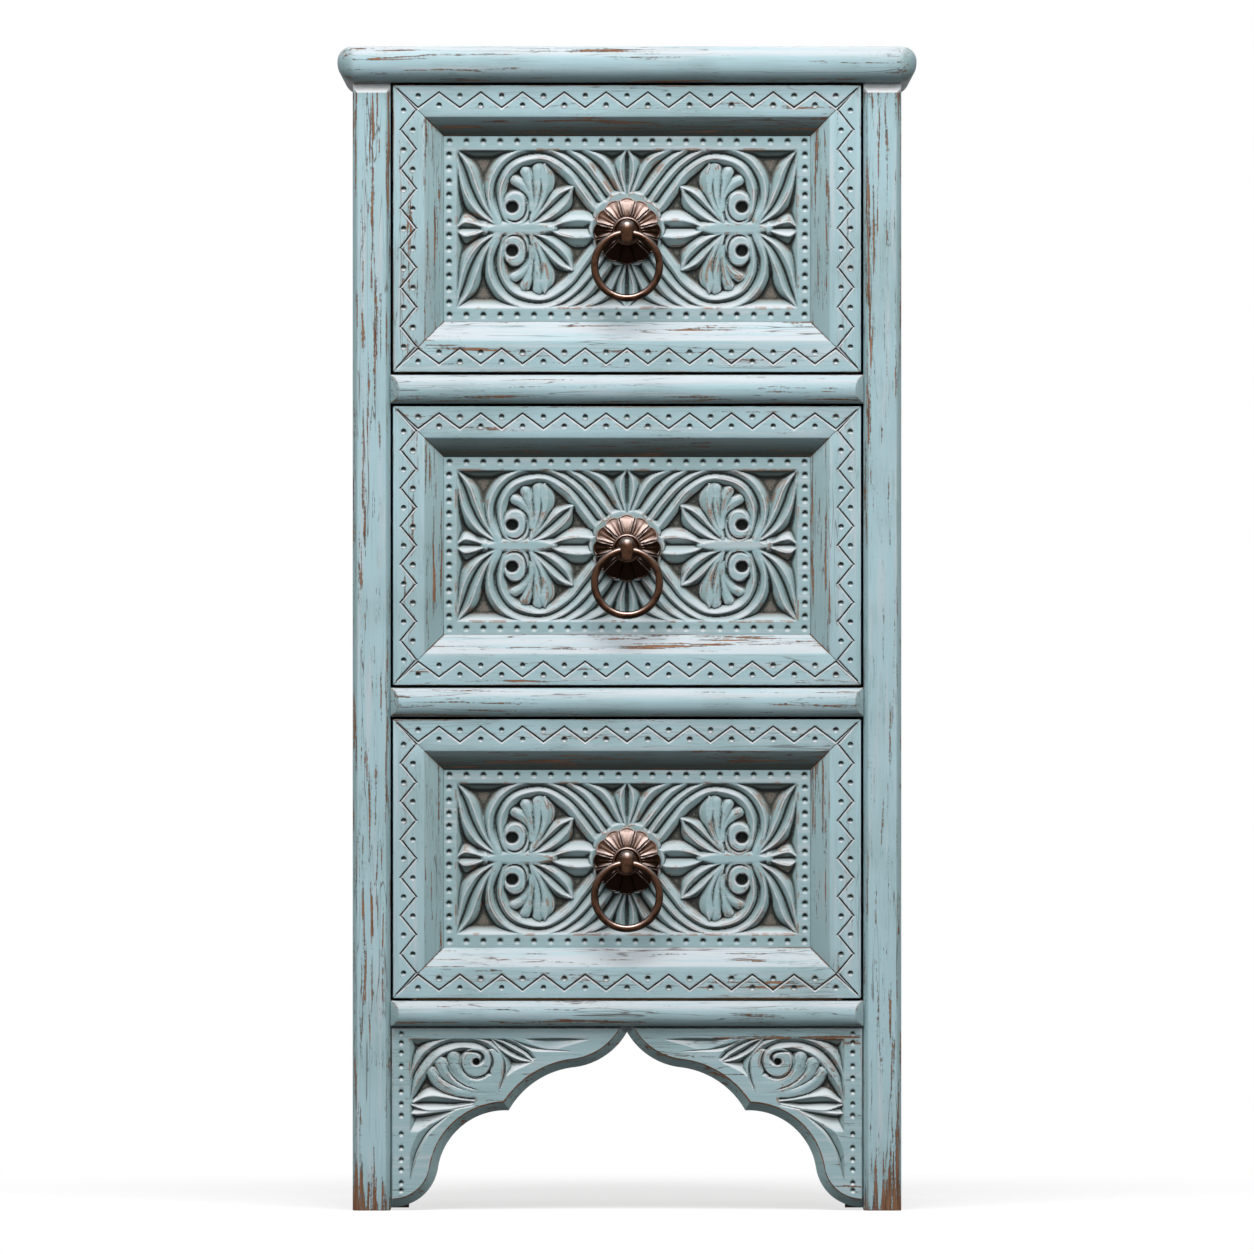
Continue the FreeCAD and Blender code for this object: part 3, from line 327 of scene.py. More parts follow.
PANEL_LEAVES = (
    # corner leaf, and the small leaf between the corners
    dict(line=[(91, 4), (100.5, 14.5), (107, 27), (112, 41), (117, 54)], left=(1, 6.4, 8.4, 8.0, 0.5),
         right=(1, 7, 9.5, 7, 0.5)),
    dict(line=[(95.5, 0), (106, 0), (118, 0)], left=(0.8, 4.5, 8.2, 9.0, 0.4), top=-0.3),
    # leaves above, below and beside the pull
    dict(line=[(0, 22), (0, 40), (0, 54.6)], left=(1.2, 4.0, 7.4, 8.9, 7.2, 0.4)),
    dict(line=[(54, 0), (36, 0), (18, 0)], left=(0.8, 8.4, 12.0, 11.4, 8.0)),
    # leaf beside the palm
    dict(line=[(66, 3.6), (51.5, 14.8), (37.8, 28.2)], left=(0.8, 6.4, 8.6, 9.2, 7.4, 0.4),
         right=(0.6, 3.4, 6.0, 7.7, 6.2, 0.4)),
)
PANEL_GOUGES = (
    # line round the end of the scroll
    dict(line=[(84.4, 8.6), (80.6, 5.4), (75.4, 5.0), (71, 8.2), (69.2, 14), (70, 20), (73.4, 24.8)],
         left=(0.3, 1.0, 1.2, 1.2, 1.0, 0.3), depth=6.0),
    # creases of the palm
    dict(line=[(60.4, 40.5), (59.0, 30), (60.6, 19), (66, 6.5)], left=(0.4, 1.3, 1.2, 0.3), depth=3.5),
    dict(line=[(66.2, 41.5), (65.4, 33), (64.2, 24), (65, 12)], left=(0.8, 1.3, 1.2, 0.3), depth=4.5),
    dict(line=[(74.6, 37.6), (70.2, 31.8), (67.0, 24), (66.2, 15)], left=(0.8, 1.2, 1.0, 0.3), depth=4.5),
)
PANEL_PIT = (2.4, 2.2)
PIT_ROW = 22
PIT_COLUMN = 12
PIT_ROW_REACH = 122.0
PIT_COLUMN_AT = 122.3
PIT_ROW_INSETS = (3.4, 4.4)
PIT_COLUMN_INSETS = (12.5, 13.0)


def panel_heights(spots):
    """Heights over the upper right quarter of a drawer panel."""
    half_u, half_v = PANEL_HALF
    border_u, border_v = PANEL_BORDER
    u, v = spots.T
    height = np.clip(-np.minimum(half_u - border_u - u, half_v - border_v - v), GROUND, 0)
    for form in PANEL_RIDGES:
        height = np.maximum(height, np.minimum(ridge(spots, **form), FORM_TOP))
    for form in PANEL_LEAVES:
        height = np.maximum(height, leaf(spots, **form))
    for place, radius in SCROLL_DISCS:
        height = np.maximum(height, disc(spots, place, radius))
    for form in PANEL_GOUGES:
        height = gouge(height, spots, **form)
    lobes = BOSS_RADIUS + BOSS_LOBE * np.sqrt(np.abs(np.cos(np.arctan2(v, u) * BOSS_LOBES)))
    height = np.maximum(height, FORM_TOP - WALL_SLOPE * np.maximum(0, np.hypot(u, v) - lobes))
    return drilled(np.clip(height, GROUND, 0), spots, *EYE)


def panel_pits():
    """Middles of the punched dots on the panel's border."""
    _, half_v = PANEL_HALF
    above, below = PIT_ROW_INSETS
    high, low = PIT_COLUMN_INSETS
    rows = [(u, v) for u in np.linspace(-PIT_ROW_REACH, PIT_ROW_REACH, PIT_ROW)
            for v in (half_v - above, below - half_v)]
    columns = [(side * PIT_COLUMN_AT, v) for v in np.linspace(low - half_v, half_v - high, PIT_COLUMN)
               for side in SIDES.values()]
    return rows + columns


# The bracket: out from the middle of the chest, and up from the floor

BRACKET_BORDER = 149.3
POST_LINE = 161.2
RAIL_LINE = 125.0
JOINT_SLOPE = 4.0
BRACKET_FIELD = (
    (149.3, 118.2), (84, 118.4), (75, 115.8), (66.5, 110.6), (62.6, 104.6), (65.2, 101.6), (72, 98.4),
    (77.5, 95.8), (83, 91.5), (88.5, 80.5), (103, 80), (104.5, 72), (119, 68.5), (149.3, 66),
)
BRACKET_RIDGES = (
    # flat root of the leaves, and the flat beside the volute
    dict(line=[(106, 84.6), (98, 84.3), (88, 83)], left=(3, 7.5, 9), right=(2.4, 8.4, 10),
         top=0.1, drop=0.5),
    dict(line=[(88.6, 82), (88.4, 92), (89.2, 102), (92.6, 108)], left=(4.2, 4.4, 4.6, 2.4),
         top=0.0, drop=0.3),
    # outer and inner band of the volute
    dict(
        line=[(88.2, 80.2), (84.3, 95.9), (88.6, 109), (99.4, 116.4), (114.1, 118.6), (128.8, 115.8),
              (140.4, 108), (147.2, 97), (149.6, 86.5)],
        left=(2.4, 4.4, 4.4, 4.2, 4.0, 3.8, 3.4, 2.6, 1.4),
        right=(1.0, 2.0, 2.6, 2.4, 2.2, 2.4, 2.4, 2.2, 1.4),
    ),
    dict(
        line=[(148.6, 75.5), (145.6, 85.3), (138.8, 95.9), (129.9, 106), (119.3, 111), (110.9, 112),
              (101.5, 110), (96.2, 104.3), (95.3, 99), (98.6, 94)],
        left=(1.2, 2.6, 3.0, 3.0, 2.8, 2.4, 2.2, 2.2, 2.2, 1.6),
        right=(1.4, 3.0, 3.8, 4.0, 4.0, 3.8, 3.8, 3.4, 3.0, 2.0),
    ),
    # three fingers
    dict(line=[(100, 85.5), (111.5, 90.5), (117.6, 98), (119.6, 105.2)], left=(3.4, 3.8, 4.0, 3.8),
         right=(3.2, 4.0, 4.0, 3.6), drop=1.2, root=0.7),
    dict(line=[(101, 82.5), (114, 86.8), (123.4, 93), (128.4, 101.2)], left=(3.2, 3.6, 4.2, 4.0),
         right=(3.2, 3.6, 4.0, 3.8), drop=1.2, root=0.7),
    dict(line=[(102, 80), (117, 81.6), (128.4, 88), (134.6, 95.4)], left=(2.4, 3.2, 3.6, 3.0),
         right=(2.4, 3.0, 3.8, 3.2), drop=1.2, root=0.7),
)
BRACKET_LEAVES = (
    # leaf that points at the post, and leaf beyond the volute
    dict(line=[(101, 74.4), (118.4, 73.1), (134.2, 73.4), (149.2, 73.3)], left=(0.8, 5.4, 9.4, 10.0, 0.4),
         right=(0.8, 3.8, 7.2, 8.6, 0.4), valley=4.4, drop=4.6),
    dict(line=[(93, 118), (78.5, 108.6), (64.6, 102.2)], left=(0.6, 4.8, 5.6, 4.4, 0.4),
         right=(0.6, 4.6, 5.6, 4.6, 0.4), top=0.0, valley=4.0, drop=4.2),
)
BRACKET_DISC = ((103.6, 101.9), 9.6)
BRACKET_GOUGES = (
    # lines between the fingers, and the outer edge of the last one
    dict(line=[(124.3, 102.5), (122.4, 95.6), (117.3, 89.4), (111, 85.4), (102, 82.4)],
         left=(1.0, 1.2, 1.2, 0.9, 0.2), depth=4.5),
    dict(line=[(132.4, 97), (128.6, 91.6), (122.4, 87.4), (115.6, 84.2), (108, 82.2)],
         left=(1.0, 1.2, 1.1, 0.8, 0.2), depth=4.5),
    dict(line=[(137, 93.5), (133.4, 87), (127, 81.6), (118.4, 78.4), (108.5, 77.8)],
         left=(1.0, 1.4, 1.3, 1.0, 0.2), depth=4.5),
    # line that turns round the volute
    dict(line=[(98, 112.6), (94.4, 108.4), (92.6, 101.6), (94.6, 95), (100, 91), (106.4, 91), (111.8, 94.6),
               (114, 100.4), (113.6, 106)], left=(0.5, 1.2, 1.4, 1.3, 1.2, 1.2, 1.2, 1.2, 0.8), depth=5.0),
    # outer edge of the flat beside the volute
    dict(line=[(86.4, 108), (84, 101), (84.4, 92), (88, 81.4)], left=(0.6, 1.5, 1.3, 0.2), depth=4.5),
    # long leaf along the rail
    dict(line=[(70.5, 117.9), (54, 116.8), (26.5, 117.6)], left=(0.3, 7.0, 4.0, 0.4),
         right=(0.3, 1.8, 1.6, 0.3), depth=3.2),
    dict(line=[(80, 117.8), (64, 111.6), (38.5, 109.3)], left=(0.3, 2.2, 1.2, 0.3),
         right=(0.3, 1.8, 1.0, 0.3), depth=2.6),
    # leaf that runs down beside the foot
    dict(line=[(118, 69), (132, 65.6), (142.5, 64), (149, 64.5)], left=(0.3, 2.0, 2.6, 2.4),
         right=(0.4, 4.5, 9.0, 11.0), depth=5.0),
    dict(line=[(121, 66.6), (135.6, 55), (143.6, 42.4), (147.6, 30.5), (150, 17.5)],
         left=(0.3, 4.6, 4.8, 3.0, 0.3), right=(0.3, 1.4, 1.6, 1.2, 0.3), depth=5.0),
)
BRACKET_SPIRAL = dict(
    line=[(104, 101.6), (100.9, 102), (99.2, 104.6), (100.6, 107.5), (104.7, 109), (110.4, 109),
          (116.4, 107.6)],
    left=(2.0, 2.0, 1.7, 1.4, 1.3, 1.3, 1.2), depth=6.0,
)
BRACKET_EYE = ((103.6, 102.2), 2.1)
BRACKET_PIT = (2.0, 1.9)
BRACKET_PIT_COLUMN = 155.1
BRACKET_PIT_LEVELS = (
    121.6, 115.3, 108.5, 99.5, 91.1, 81.7, 73.2, 65.4, 52.7, 43.3, 34.9, 28, 19.1, 13.8,
)
BRACKET_PITS = [(BRACKET_PIT_COLUMN, level) for level in BRACKET_PIT_LEVELS]


def bracket_heights(spots):
    """Heights over a bracket."""
    height = sunk(spots, BRACKET_FIELD)
    for form in BRACKET_RIDGES:
        height = np.maximum(height, ridge(spots, **form))
    for form in BRACKET_LEAVES:
        height = np.maximum(height, leaf(spots, **form))
    height = np.maximum(height, disc(spots, *BRACKET_DISC))
    for form in BRACKET_GOUGES:
        height = gouge(height, spots, **form)
    height = np.maximum(height, np.minimum(0, spots[:, 0] - BRACKET_BORDER))
    from_joint = np.minimum(POST_LINE - spots[:, 0], RAIL_LINE - spots[:, 1])
    height = np.minimum(height, JOINT_SLOPE * np.minimum(0, from_joint))
    height = gouge(np.clip(height, GROUND, 0), spots, **BRACKET_SPIRAL)
    return drilled(height, spots, *BRACKET_EYE)


# Patterns of the finishes

# scale, detail and roughness of each noise, and distortion where it has any
NOISES = {
    "grain bands": (0.35, 2.0, 0.5, 0.6),
    "grain lines": (1.6, 5.0, 0.65),
    "streaks": (0.9, 5.0, 0.62),
    "brush marks": (3.4, 3.0, 0.6),
    "clouds": (13.0, 4.0, 0.55),
    "patches": (1.0, 3.0, 0.5),
    "specks": (900.0, 2.0, 0.6),
    "cracks": (0.55, 2.0, 0.5),
    "checks": (1.5, 3.0, 0.5),
    "flakes": (1.4, 7.0, 0.70),
    "grit": (420.0, 3.0, 0.6),
    "rubbing": (70.0, 4.0, 0.65),
    "groove dirt": (300.0, 3.0, 0.55),
    "blotches": (170.0, 4.0, 0.6),
    "casting": (1400.0, 3.0, 0.6),
    "spangle": (600.0, 3.0, 0.6),
}
# the two values that a ramp eases between, and what it gives there where that isn't 0 and 1
RAMPS = {
    "edge": (0.004, 0.10),
    "end grain": (0.55, 0.9, 0.0, 0.10),
    # plain wood
    "late wood": (0.55, 1.0, 0.0, 0.6),
    "grain lines": (0.45, 0.75, 0.0, 0.5),
    "wood roughness": (0.3, 0.8, 0.55, 0.8),
    # flat paint
    "clouds": (0.40, 0.74, 0.0, 0.5),
    "streaks": (0.50, 0.72, 0.0, 0.6),
    "brush marks": (0.52, 0.74, 0.0, 0.45),
    # paler paint on faces that point up: dust, and painted light
    "facing up": (0.08, 0.58, 0.0, 0.85),
    "broken chalk": (0.36, 0.52, 0.35, 1.0),
    "slope starts": (0.25, 0.5),
    "slope ends": (0.75, 0.95, 1.0, 0.0),
    # painted shade under what faces down
    "under_shade": (0.30, 0.95, 0.0, 0.7),
    "cracked": (0.46, 0.56),
    "checked": (0.50, 0.62),
    "paint roughness": (0.3, 0.7, 0.52, 0.72),
    # flakes
    "flaky edges": (0.34, 0.58, 0.05, 0.34),
    "grit": (0.25, 0.75, -0.03, 0.03),
    "flaky patches": (0.52, 0.70, 0.0, 0.09),
    "flaky undersides": (0.2, 0.7, 0.0, 0.05),
    "bare grain": (0.40, 0.75),
    "flake rim": (0.62, 0.65, 0.0, 0.6),
    "flake": (0.645, 0.67),
    # carving
    # painted shade: paint dulls towards the bottom of the carving
    "shaded walls": (0.15, 0.7, 0.0, 0.5),
    "ground": (0.80, 0.97, 0.0, 0.9),
    "ground specks": (0.35, 0.75),
    # painted shade, darker deep in the carving
    "deep shade": (0.35, 1.0, 0.0, 0.40),
    "soil specks": (0.2, 0.6, 0.75, 1.0),
    # painted shade on hollow walls that face down
    "hollow undershade": (0.45, -0.20, 0.25, 1.0),
    # painted shade in the drilled eyes
    "drilled": (1.05, 1.3),
    # black dirt with painted shade at the bottom of the cuts
    "pitch": (0.60, 0.92, 0.0, 0.85),
    "rubbing starts": (0.12, 0.3),
    "rubbing ends": (0.75, 0.5, 0.0, 1.0),
    "rubbed patches": (0.50, 0.60),
    "crests": (0.4, 0.9),
    "crest streaks": (0.3, 0.6, 0.35, 0.95),
    # painted highlight, only where a crest mark passes 1
    "painted highlight crests": (1.1, 1.8, 0.0, 0.95),
    # painted highlight on faces that point up
    "lift": (0.22, 0.60),
    "groove dirt": (0.3, 0.7, 0.75, 1.0),
    # painted highlight on groove walls that face up
    "groove highlights": (0.20, 0.60, 0.0, 1.25),
    # metal
    "blotches": (0.40, 0.72, 0.10, 0.55),
    # painted light: less patina and shade on parts that face up
    "lighter tops": (0.05, 0.45, 1.0, 0.35),
    # painted shade on parts that face down
    "shaded undersides": (0.20, -0.45, 0.0, 0.9),
    "patina_and_shade": (0.0, 1.0),
    "patina roughness": (0.0, 1.0, 0.0, 0.2),
    # painted highlight: crests and slopes that face up take the rubbed colour
    "lit crests": (-0.5, 0.1, 0.0, 0.8),
    "lit slopes": (0.0, 0.5, 0.0, 0.9),
    "spangle": (0.3, 0.7),
    "zinc roughness": (0.3, 0.7, 0.35, 0.5),
}
# strengths
SHARES = {
    # painted shade on faces that turn sideways
    "shaded sides": 0.55,
    "flaky slopes": 0.03,
    "rubbed places": 0.12,
    # painted shade on bare wood that faces down
    "shaded bare wood": 0.6,
    "rubbed crests": 0.8,
    "bare roughness": 0.15,
    "brush height": 0.35,
    "clean crests": 0.35,
    "dim steel": 0.6,
}
# thin lines in the paint: noise, ramp, width, strength and colour; the ramp says where they show
CRACKS = ("cracks", "cracked", 0.010, 0.8, "dark")
CHECKS = ("checks", "checked", 0.012, 0.55, "grime_and_shade")
PATCH_SCALE = (0.34, 0.34, 0.34)
PATCH_SHIFT = (3.1, 7.7, 1.9)
GRAIN_BANDS = 7.0
GRAIN_ACROSS = 250.0
GRAIN_ALONG = 11.0
EDGE_SAMPLES = 6
ROUND_SHARE = 0.35
EDGE_RADIUS = 0.0022
FINE_EDGE_RADIUS = 0.0008
PAINT_RELIEF = 0.00022
WOOD_RELIEF = 0.00012
METAL_RELIEF = 0.00005
PAINT_SURFACE = {"Specular IOR Level": 0.22}
WOOD_SURFACE = {"Specular IOR Level": 0.25}
METAL_SURFACE = {"Metallic": 1.0}
FINISH = {"Color": "Color", "Roughness": "Float", "Height": "Float"}
PAINT_MASKS = (
    "Edge", "Crest", "Hollow", "Depth", "Rubbed", "Wear", "Cracks", "UnderShade", "Age", "Rub", "Lift",
)
METAL_MASKS = ("Edge", "Crest", "Hollow", "ShadedUnder", "Shine", "Tilt", "Rough")
# per state: the under-shade share darkens what faces down and the age share dulls the piece, both partly
# painted shade; Lift is a painted highlight on what faces up; the bevel state darkens the frames' top bevels
# most
STATES = {
    "worn": dict(Wear=0.030, Cracks=1.0, UnderShade=1.0, Age=0.0, Rub=1.0),
    "nosed": dict(Wear=0.010, Cracks=1.0, UnderShade=1.0, Age=0.0, Rub=0.8),
    "kept": dict(Wear=-0.015, Cracks=0.7, UnderShade=1.0, Age=0.08, Rub=0.5),
    "bevel": dict(Wear=0.018, Cracks=1.0, UnderShade=2.4, Age=0.0, Rub=1.0),
    "carved": dict(Wear=-0.15, Cracks=0.0, UnderShade=2.5, Age=0.40, Rub=0.0, Lift=0.10),
    "bracket": dict(Wear=-0.02, Cracks=0.8, UnderShade=1.3, Age=0.36, Rub=0.0, Lift=0.35),
}
# the under-shade share is painted shade; Shine and Tilt set the painted highlight on what faces up
BRONZES = {
    "plate": dict(ShadedUnder=1.0, Shine=0.90, Tilt=0.09, Rough=0.52),
    "knob": dict(ShadedUnder=0.25, Shine=1.0, Tilt=0.10, Rough=0.34),
    "ring": dict(ShadedUnder=0.7, Shine=1.0, Tilt=0.20, Rough=0.24),
}


# Shader nodes

def add(tree, kind, values=None, **settings):
    """A node with its settings and inputs; an input may be another node's socket."""
    node = tree.nodes.new(kind)
    for name, value in settings.items():
        setattr(node, name, value)
    for name, value in (values or {}).items():
        if isinstance(value, bpy.types.NodeSocket):
            tree.links.new(value, node.inputs[name])
        else:
            node.inputs[name].default_value = value
    return node


def combine(tree, operation, first, second=0.0):
    return add(tree, "ShaderNodeMath", {0: first, 1: second}, operation=operation).outputs[0]


def times(tree, first, second):
    return combine(tree, "MULTIPLY", first, second)


def larger(tree, first, second):
    return combine(tree, "MAXIMUM", first, second)


def total(tree, first, *others):
    for other in others:
        first = combine(tree, "ADD", first, other)
    return first


def remap(tree, value, low, high, start=0.0, end=1.0):
    """Value between low and high, eased to a value between start and end."""
    values = {"Value": value, "From Min": low, "From Max": high, "To Min": start, "To Max": end}
    return add(tree, "ShaderNodeMapRange", values, interpolation_type="SMOOTHSTEP").outputs["Result"]


def ramp(tree, name, value):
    """A value eased by one of the ramps."""
    return remap(tree, value, *RAMPS[name])


def noise(tree, name, vector):
    """One of the noises."""
    values = dict(zip(("Scale", "Detail", "Roughness", "Distortion"), NOISES[name]))
    return add(tree, "ShaderNodeTexNoise", {"Vector": vector, **values}).outputs["Fac"]


def blend(tree, share, first, second):
    """Mix of two colours."""
    return add(tree, "ShaderNodeMix", {0: share, 6: first, 7: second}, data_type="RGBA").outputs[2]


def stretched(tree, vector, scale, location=(0, 0, 0)):
    values = {"Vector": vector, "Scale": scale, "Location": location}
    return add(tree, "ShaderNodeMapping", values).outputs[0]


def attribute(tree, name):
    return add(tree, "ShaderNodeAttribute", attribute_name=name).outputs["Fac"]


def surface_normal(tree):
    return add(tree, "ShaderNodeNewGeometry").outputs["Normal"]


def facing(tree):
    """The surface's normal in the piece's own frame, as X, Y and Z."""
    settings = dict(vector_type="NORMAL", convert_from="WORLD", convert_to="OBJECT")
    own = add(tree, "ShaderNodeVectorTransform", {0: surface_normal(tree)}, **settings).outputs[0]
    return add(tree, "ShaderNodeSeparateXYZ", {0: own}).outputs


def hairline(tree, value, width):
    """1 along the line where a noise crosses its middle, 0 beside it."""
    off = combine(tree, "ABSOLUTE", combine(tree, "SUBTRACT", value, 0.5))
    return remap(tree, off, 0.0, width, 1.0, 0.0)


def opaque(rgb):
    return (*rgb, 1.0)


# Node groups that the finishes share

def group(name, inputs, outputs=FINISH):
    """An empty node group with its sockets; returns it, what comes into it and its output node."""
    tree = bpy.data.node_groups.new(name, "ShaderNodeTree")
    for way, sockets in (("INPUT", inputs), ("OUTPUT", outputs)):
        for label, kind in sockets.items():
            tree.interface.new_socket(label, in_out=way, socket_type=f"NodeSocket{kind}")
    return tree, tree.nodes.new("NodeGroupInput").outputs, tree.nodes.new("NodeGroupOutput")


def send(tree, out, **sockets):
    for name, socket in sockets.items():
        tree.links.new(socket, out.inputs[name])


def edge_group():
    """Mask of the arrises, and the normal of a slightly rounded arris."""
    tree, given, out = group("Worn edges", {"Radius": "Float"}, {"Edge": "Float", "Normal": "Vector"})
    narrow = times(tree, given["Radius"], ROUND_SHARE)
    wide_normal, round_normal = (
        add(tree, "ShaderNodeBevel", {"Radius": radius}, samples=EDGE_SAMPLES).outputs[0]
        for radius in (given["Radius"], narrow)
    )
    both = {0: wide_normal, 1: surface_normal(tree)}
    same = add(tree, "ShaderNodeVectorMath", both, operation="DOT_PRODUCT").outputs["Value"]
    edge = ramp(tree, "edge", combine(tree, "SUBTRACT", 1.0, same))
    send(tree, out, Edge=edge, Normal=round_normal)


def grain_group():
    """Plain wood: two colours in long grain."""
    tree, given, out = group("Wood grain", {"Grain": "Vector", "Light": "Color", "Dark": "Color"})
    bands = times(tree, noise(tree, "grain bands", given["Grain"]), GRAIN_BANDS)
    fine = noise(tree, "grain lines", given["Grain"])
    rings = ramp(tree, "late wood", combine(tree, "FRACT", bands))
    lines = total(tree, rings, ramp(tree, "grain lines", fine))
    send(
        tree, out,
        Color=blend(tree, lines, given["Light"], given["Dark"]),
        Roughness=ramp(tree, "wood roughness", fine),
        Height=fine,
    )


def paint_group(look):
    """Worn paint over brown wood; the masks say where it is rubbed, raised, hollow or cut to the ground.
    Painted light and shade follow which way the surface faces.
    """
    inputs = {"Grain": "Vector", "Plain": "Vector", **dict.fromkeys(PAINT_MASKS, "Float")}
    tree, given, out = group("Worn paint", inputs)
    grain, plain = given["Grain"], given["Plain"]
    crest, depth = given["Crest"], given["Depth"]
    way = facing(tree)
    streak = noise(tree, "streaks", grain)
    brush = noise(tree, "brush marks", grain)
    cloud = noise(tree, "clouds", plain)
    patch = noise(tree, "patches", stretched(tree, grain, PATCH_SCALE, PATCH_SHIFT))
    speck = noise(tree, "specks", plain)

    def eased(name, value):
        return ramp(tree, name, value)

    def both(first, second):
        """Where two masks meet."""
        return times(tree, first, second)

    def coat(share, under, name):
        """One of the chest's colours laid over another colour."""
        return blend(tree, share, under, opaque(getattr(look, name)))

    tint = coat(eased("clouds", cloud), opaque(look.paint), "dull")
    # older, duller paint, and painted shade on the carved panels and brackets
    tint = coat(given["Age"], tint, "dull")
    tint = coat(eased("streaks", streak), tint, "chalk_and_highlight")
    tint = coat(eased("brush marks", brush), tint, "dull")

    # paint is paler where it faces up, from dust and painted light; painted shade dulls faces that turn
    # sideways
    tint = coat(both(eased("facing up", way["Z"]), eased("broken chalk", streak)), tint, "chalk_and_highlight")
    aside = combine(tree, "ABSOLUTE", way["X"])
    slope = both(eased("slope starts", aside), eased("slope ends", aside))
    tint = coat(both(slope, SHARES["shaded sides"]), tint, "dull")

    # painted shade: darker under everything that faces down
    under = both(way["Z"], -1.0)
    under_shade = both(eased("under_shade", under), given["UnderShade"])
    tint = coat(under_shade, tint, "grime_and_shade")

    # thin cracks along the grain
    for (pattern, where, width, share, name), spread in ((CRACKS, patch), (CHECKS, cloud)):
        line = both(hairline(tree, noise(tree, pattern, grain), width), eased(where, spread))
        tint = coat(both(both(line, given["Cracks"]), share), tint, name)

    # flakes: bare wood with a dark rim, mostly along the arrises
    flake = total(
        tree, noise(tree, "flakes", grain),
        both(both(given["Edge"], eased("flaky edges", patch)), given["Rub"]),
        eased("grit", noise(tree, "grit", plain)),
        eased("flaky patches", patch),
        both(slope, SHARES["flaky slopes"]),
        eased("flaky undersides", under),
        both(given["Rubbed"], SHARES["rubbed places"]),
        given["Wear"],
    )
    wood = coat(eased("bare grain", brush), opaque(look.bare), "dark")
    # painted shade on bare wood that faces down
    wood = coat(both(under_shade, SHARES["shaded bare wood"]), wood, "dark")
    tint = coat(eased("flake rim", flake), tint, "dark")
    bare = eased("flake", flake)
    tint = blend(tree, bare, tint, wood)

    # carved work: painted shade that dulls and darkens deep walls, worn ground, dirt and painted shade in the
    # hollows and eyes, chalk and a little rubbing on the crests, painted highlight on what faces up
    # painted shade: paint dulls towards the bottom of the carving
    tint = coat(eased("shaded walls", depth), tint, "dull")
    earth = coat(eased("ground specks", speck), opaque(look.ground), "dark")
    tint = blend(tree, eased("ground", depth), tint, earth)
    # painted shade: the deepest parts of the carving are darkened
    tint = coat(eased("deep shade", depth), tint, "grime_and_shade")
    # dirt in the hollows, with painted shade that darkens the walls facing down
    soil_and_shade = both(both(given["Hollow"], eased("soil specks", speck)), eased("hollow undershade", way["Z"]))
    # painted shade: the drilled eyes go near black
    tint = coat(larger(tree, soil_and_shade, eased("drilled", depth)), tint, "grime_and_shade")
    # black dirt with painted shade at the bottom of the cuts
    tint = coat(eased("pitch", soil_and_shade), tint, "pitch")
    rub = both(eased("rubbing starts", crest), eased("rubbing ends", crest))
    rub = both(rub, eased("rubbed patches", noise(tree, "rubbing", plain)))
    tint = blend(tree, both(rub, SHARES["rubbed crests"]), tint, wood)
    tint = coat(both(eased("crests", crest), eased("crest streaks", streak)), tint, "chalk_and_highlight")
    # painted highlight: near white on the posts' top bevels and on groove walls that face up
    tint = coat(eased("painted highlight crests", crest), tint, "bright")
    # painted highlight: faces that point up turn near white, by the state's Lift
    tint = coat(both(eased("lift", way["Z"]), given["Lift"]), tint, "bright")

    send(
        tree, out,
        Color=tint,
        Roughness=total(tree, eased("paint roughness", brush), both(bare, SHARES["bare roughness"])),
        Height=combine(tree, "SUBTRACT", both(brush, SHARES["brush height"]), bare),
    )


def patina_group(look):
    """Dark bronze with patina, rubbed paler on its raised parts; painted highlight on what faces up, painted
    shade on what faces down.
    """
    tree, given, out = group("Aged metal", {"Plain": "Vector", **dict.fromkeys(METAL_MASKS, "Float")})
    high = facing(tree)["Z"]
    blotch = noise(tree, "blotches", given["Plain"])
    # patina blotches, and the hollow mark that also carries painted shade on the plate
    dirt = total(tree, ramp(tree, "blotches", blotch), given["Hollow"])
    dirt = times(tree, dirt, ramp(tree, "lighter tops", high))
    # painted shade: parts that face down darken, by the part's under-shade share
    dirt = total(tree, dirt, times(tree, ramp(tree, "shaded undersides", high), given["ShadedUnder"]))
    worn = larger(tree, given["Crest"], given["Edge"])
    dirt = combine(tree, "SUBTRACT", dirt, times(tree, worn, SHARES["clean crests"]))
    dirt = ramp(tree, "patina_and_shade", dirt)
    # painted highlight: crests and up-facing slopes take the rubbed colour
    lit = times(tree, given["Crest"], ramp(tree, "lit crests", high))
    tilted = combine(tree, "SUBTRACT", high, given["Tilt"])
    lit = larger(tree, lit, ramp(tree, "lit slopes", tilted))
    lit = times(tree, lit, given["Shine"])
    tint = blend(tree, lit, opaque(look.bronze), opaque(look.rubbed_and_lit_bronze))
    send(
        tree, out,
        Color=blend(tree, dirt, tint, opaque(look.patina_and_shade)),
        Roughness=total(tree, ramp(tree, "patina roughness", dirt), given["Rough"]),
        Height=noise(tree, "casting", given["Plain"]),
    )


def plate_group(look):
    """Dull zinc plate with a faint spangle."""
    tree, given, out = group("Plated metal", {"Plain": "Vector"})
    spangle = noise(tree, "spangle", given["Plain"])
    dim = tuple(SHARES["dim steel"] * value for value in look.steel)
    send(
        tree, out,
        Color=blend(tree, ramp(tree, "spangle", spangle), opaque(dim), opaque(look.steel)),
        Roughness=ramp(tree, "zinc roughness", spangle),
        Height=spangle,
    )


# Finishes

def use(tree, name, **values):
    """A node group placed in a material with its own values."""
    return add(tree, "ShaderNodeGroup", values, node_tree=bpy.data.node_groups[name]).outputs


def fine_edges(tree):
    return use(tree, "Worn edges", Radius=FINE_EDGE_RADIUS)


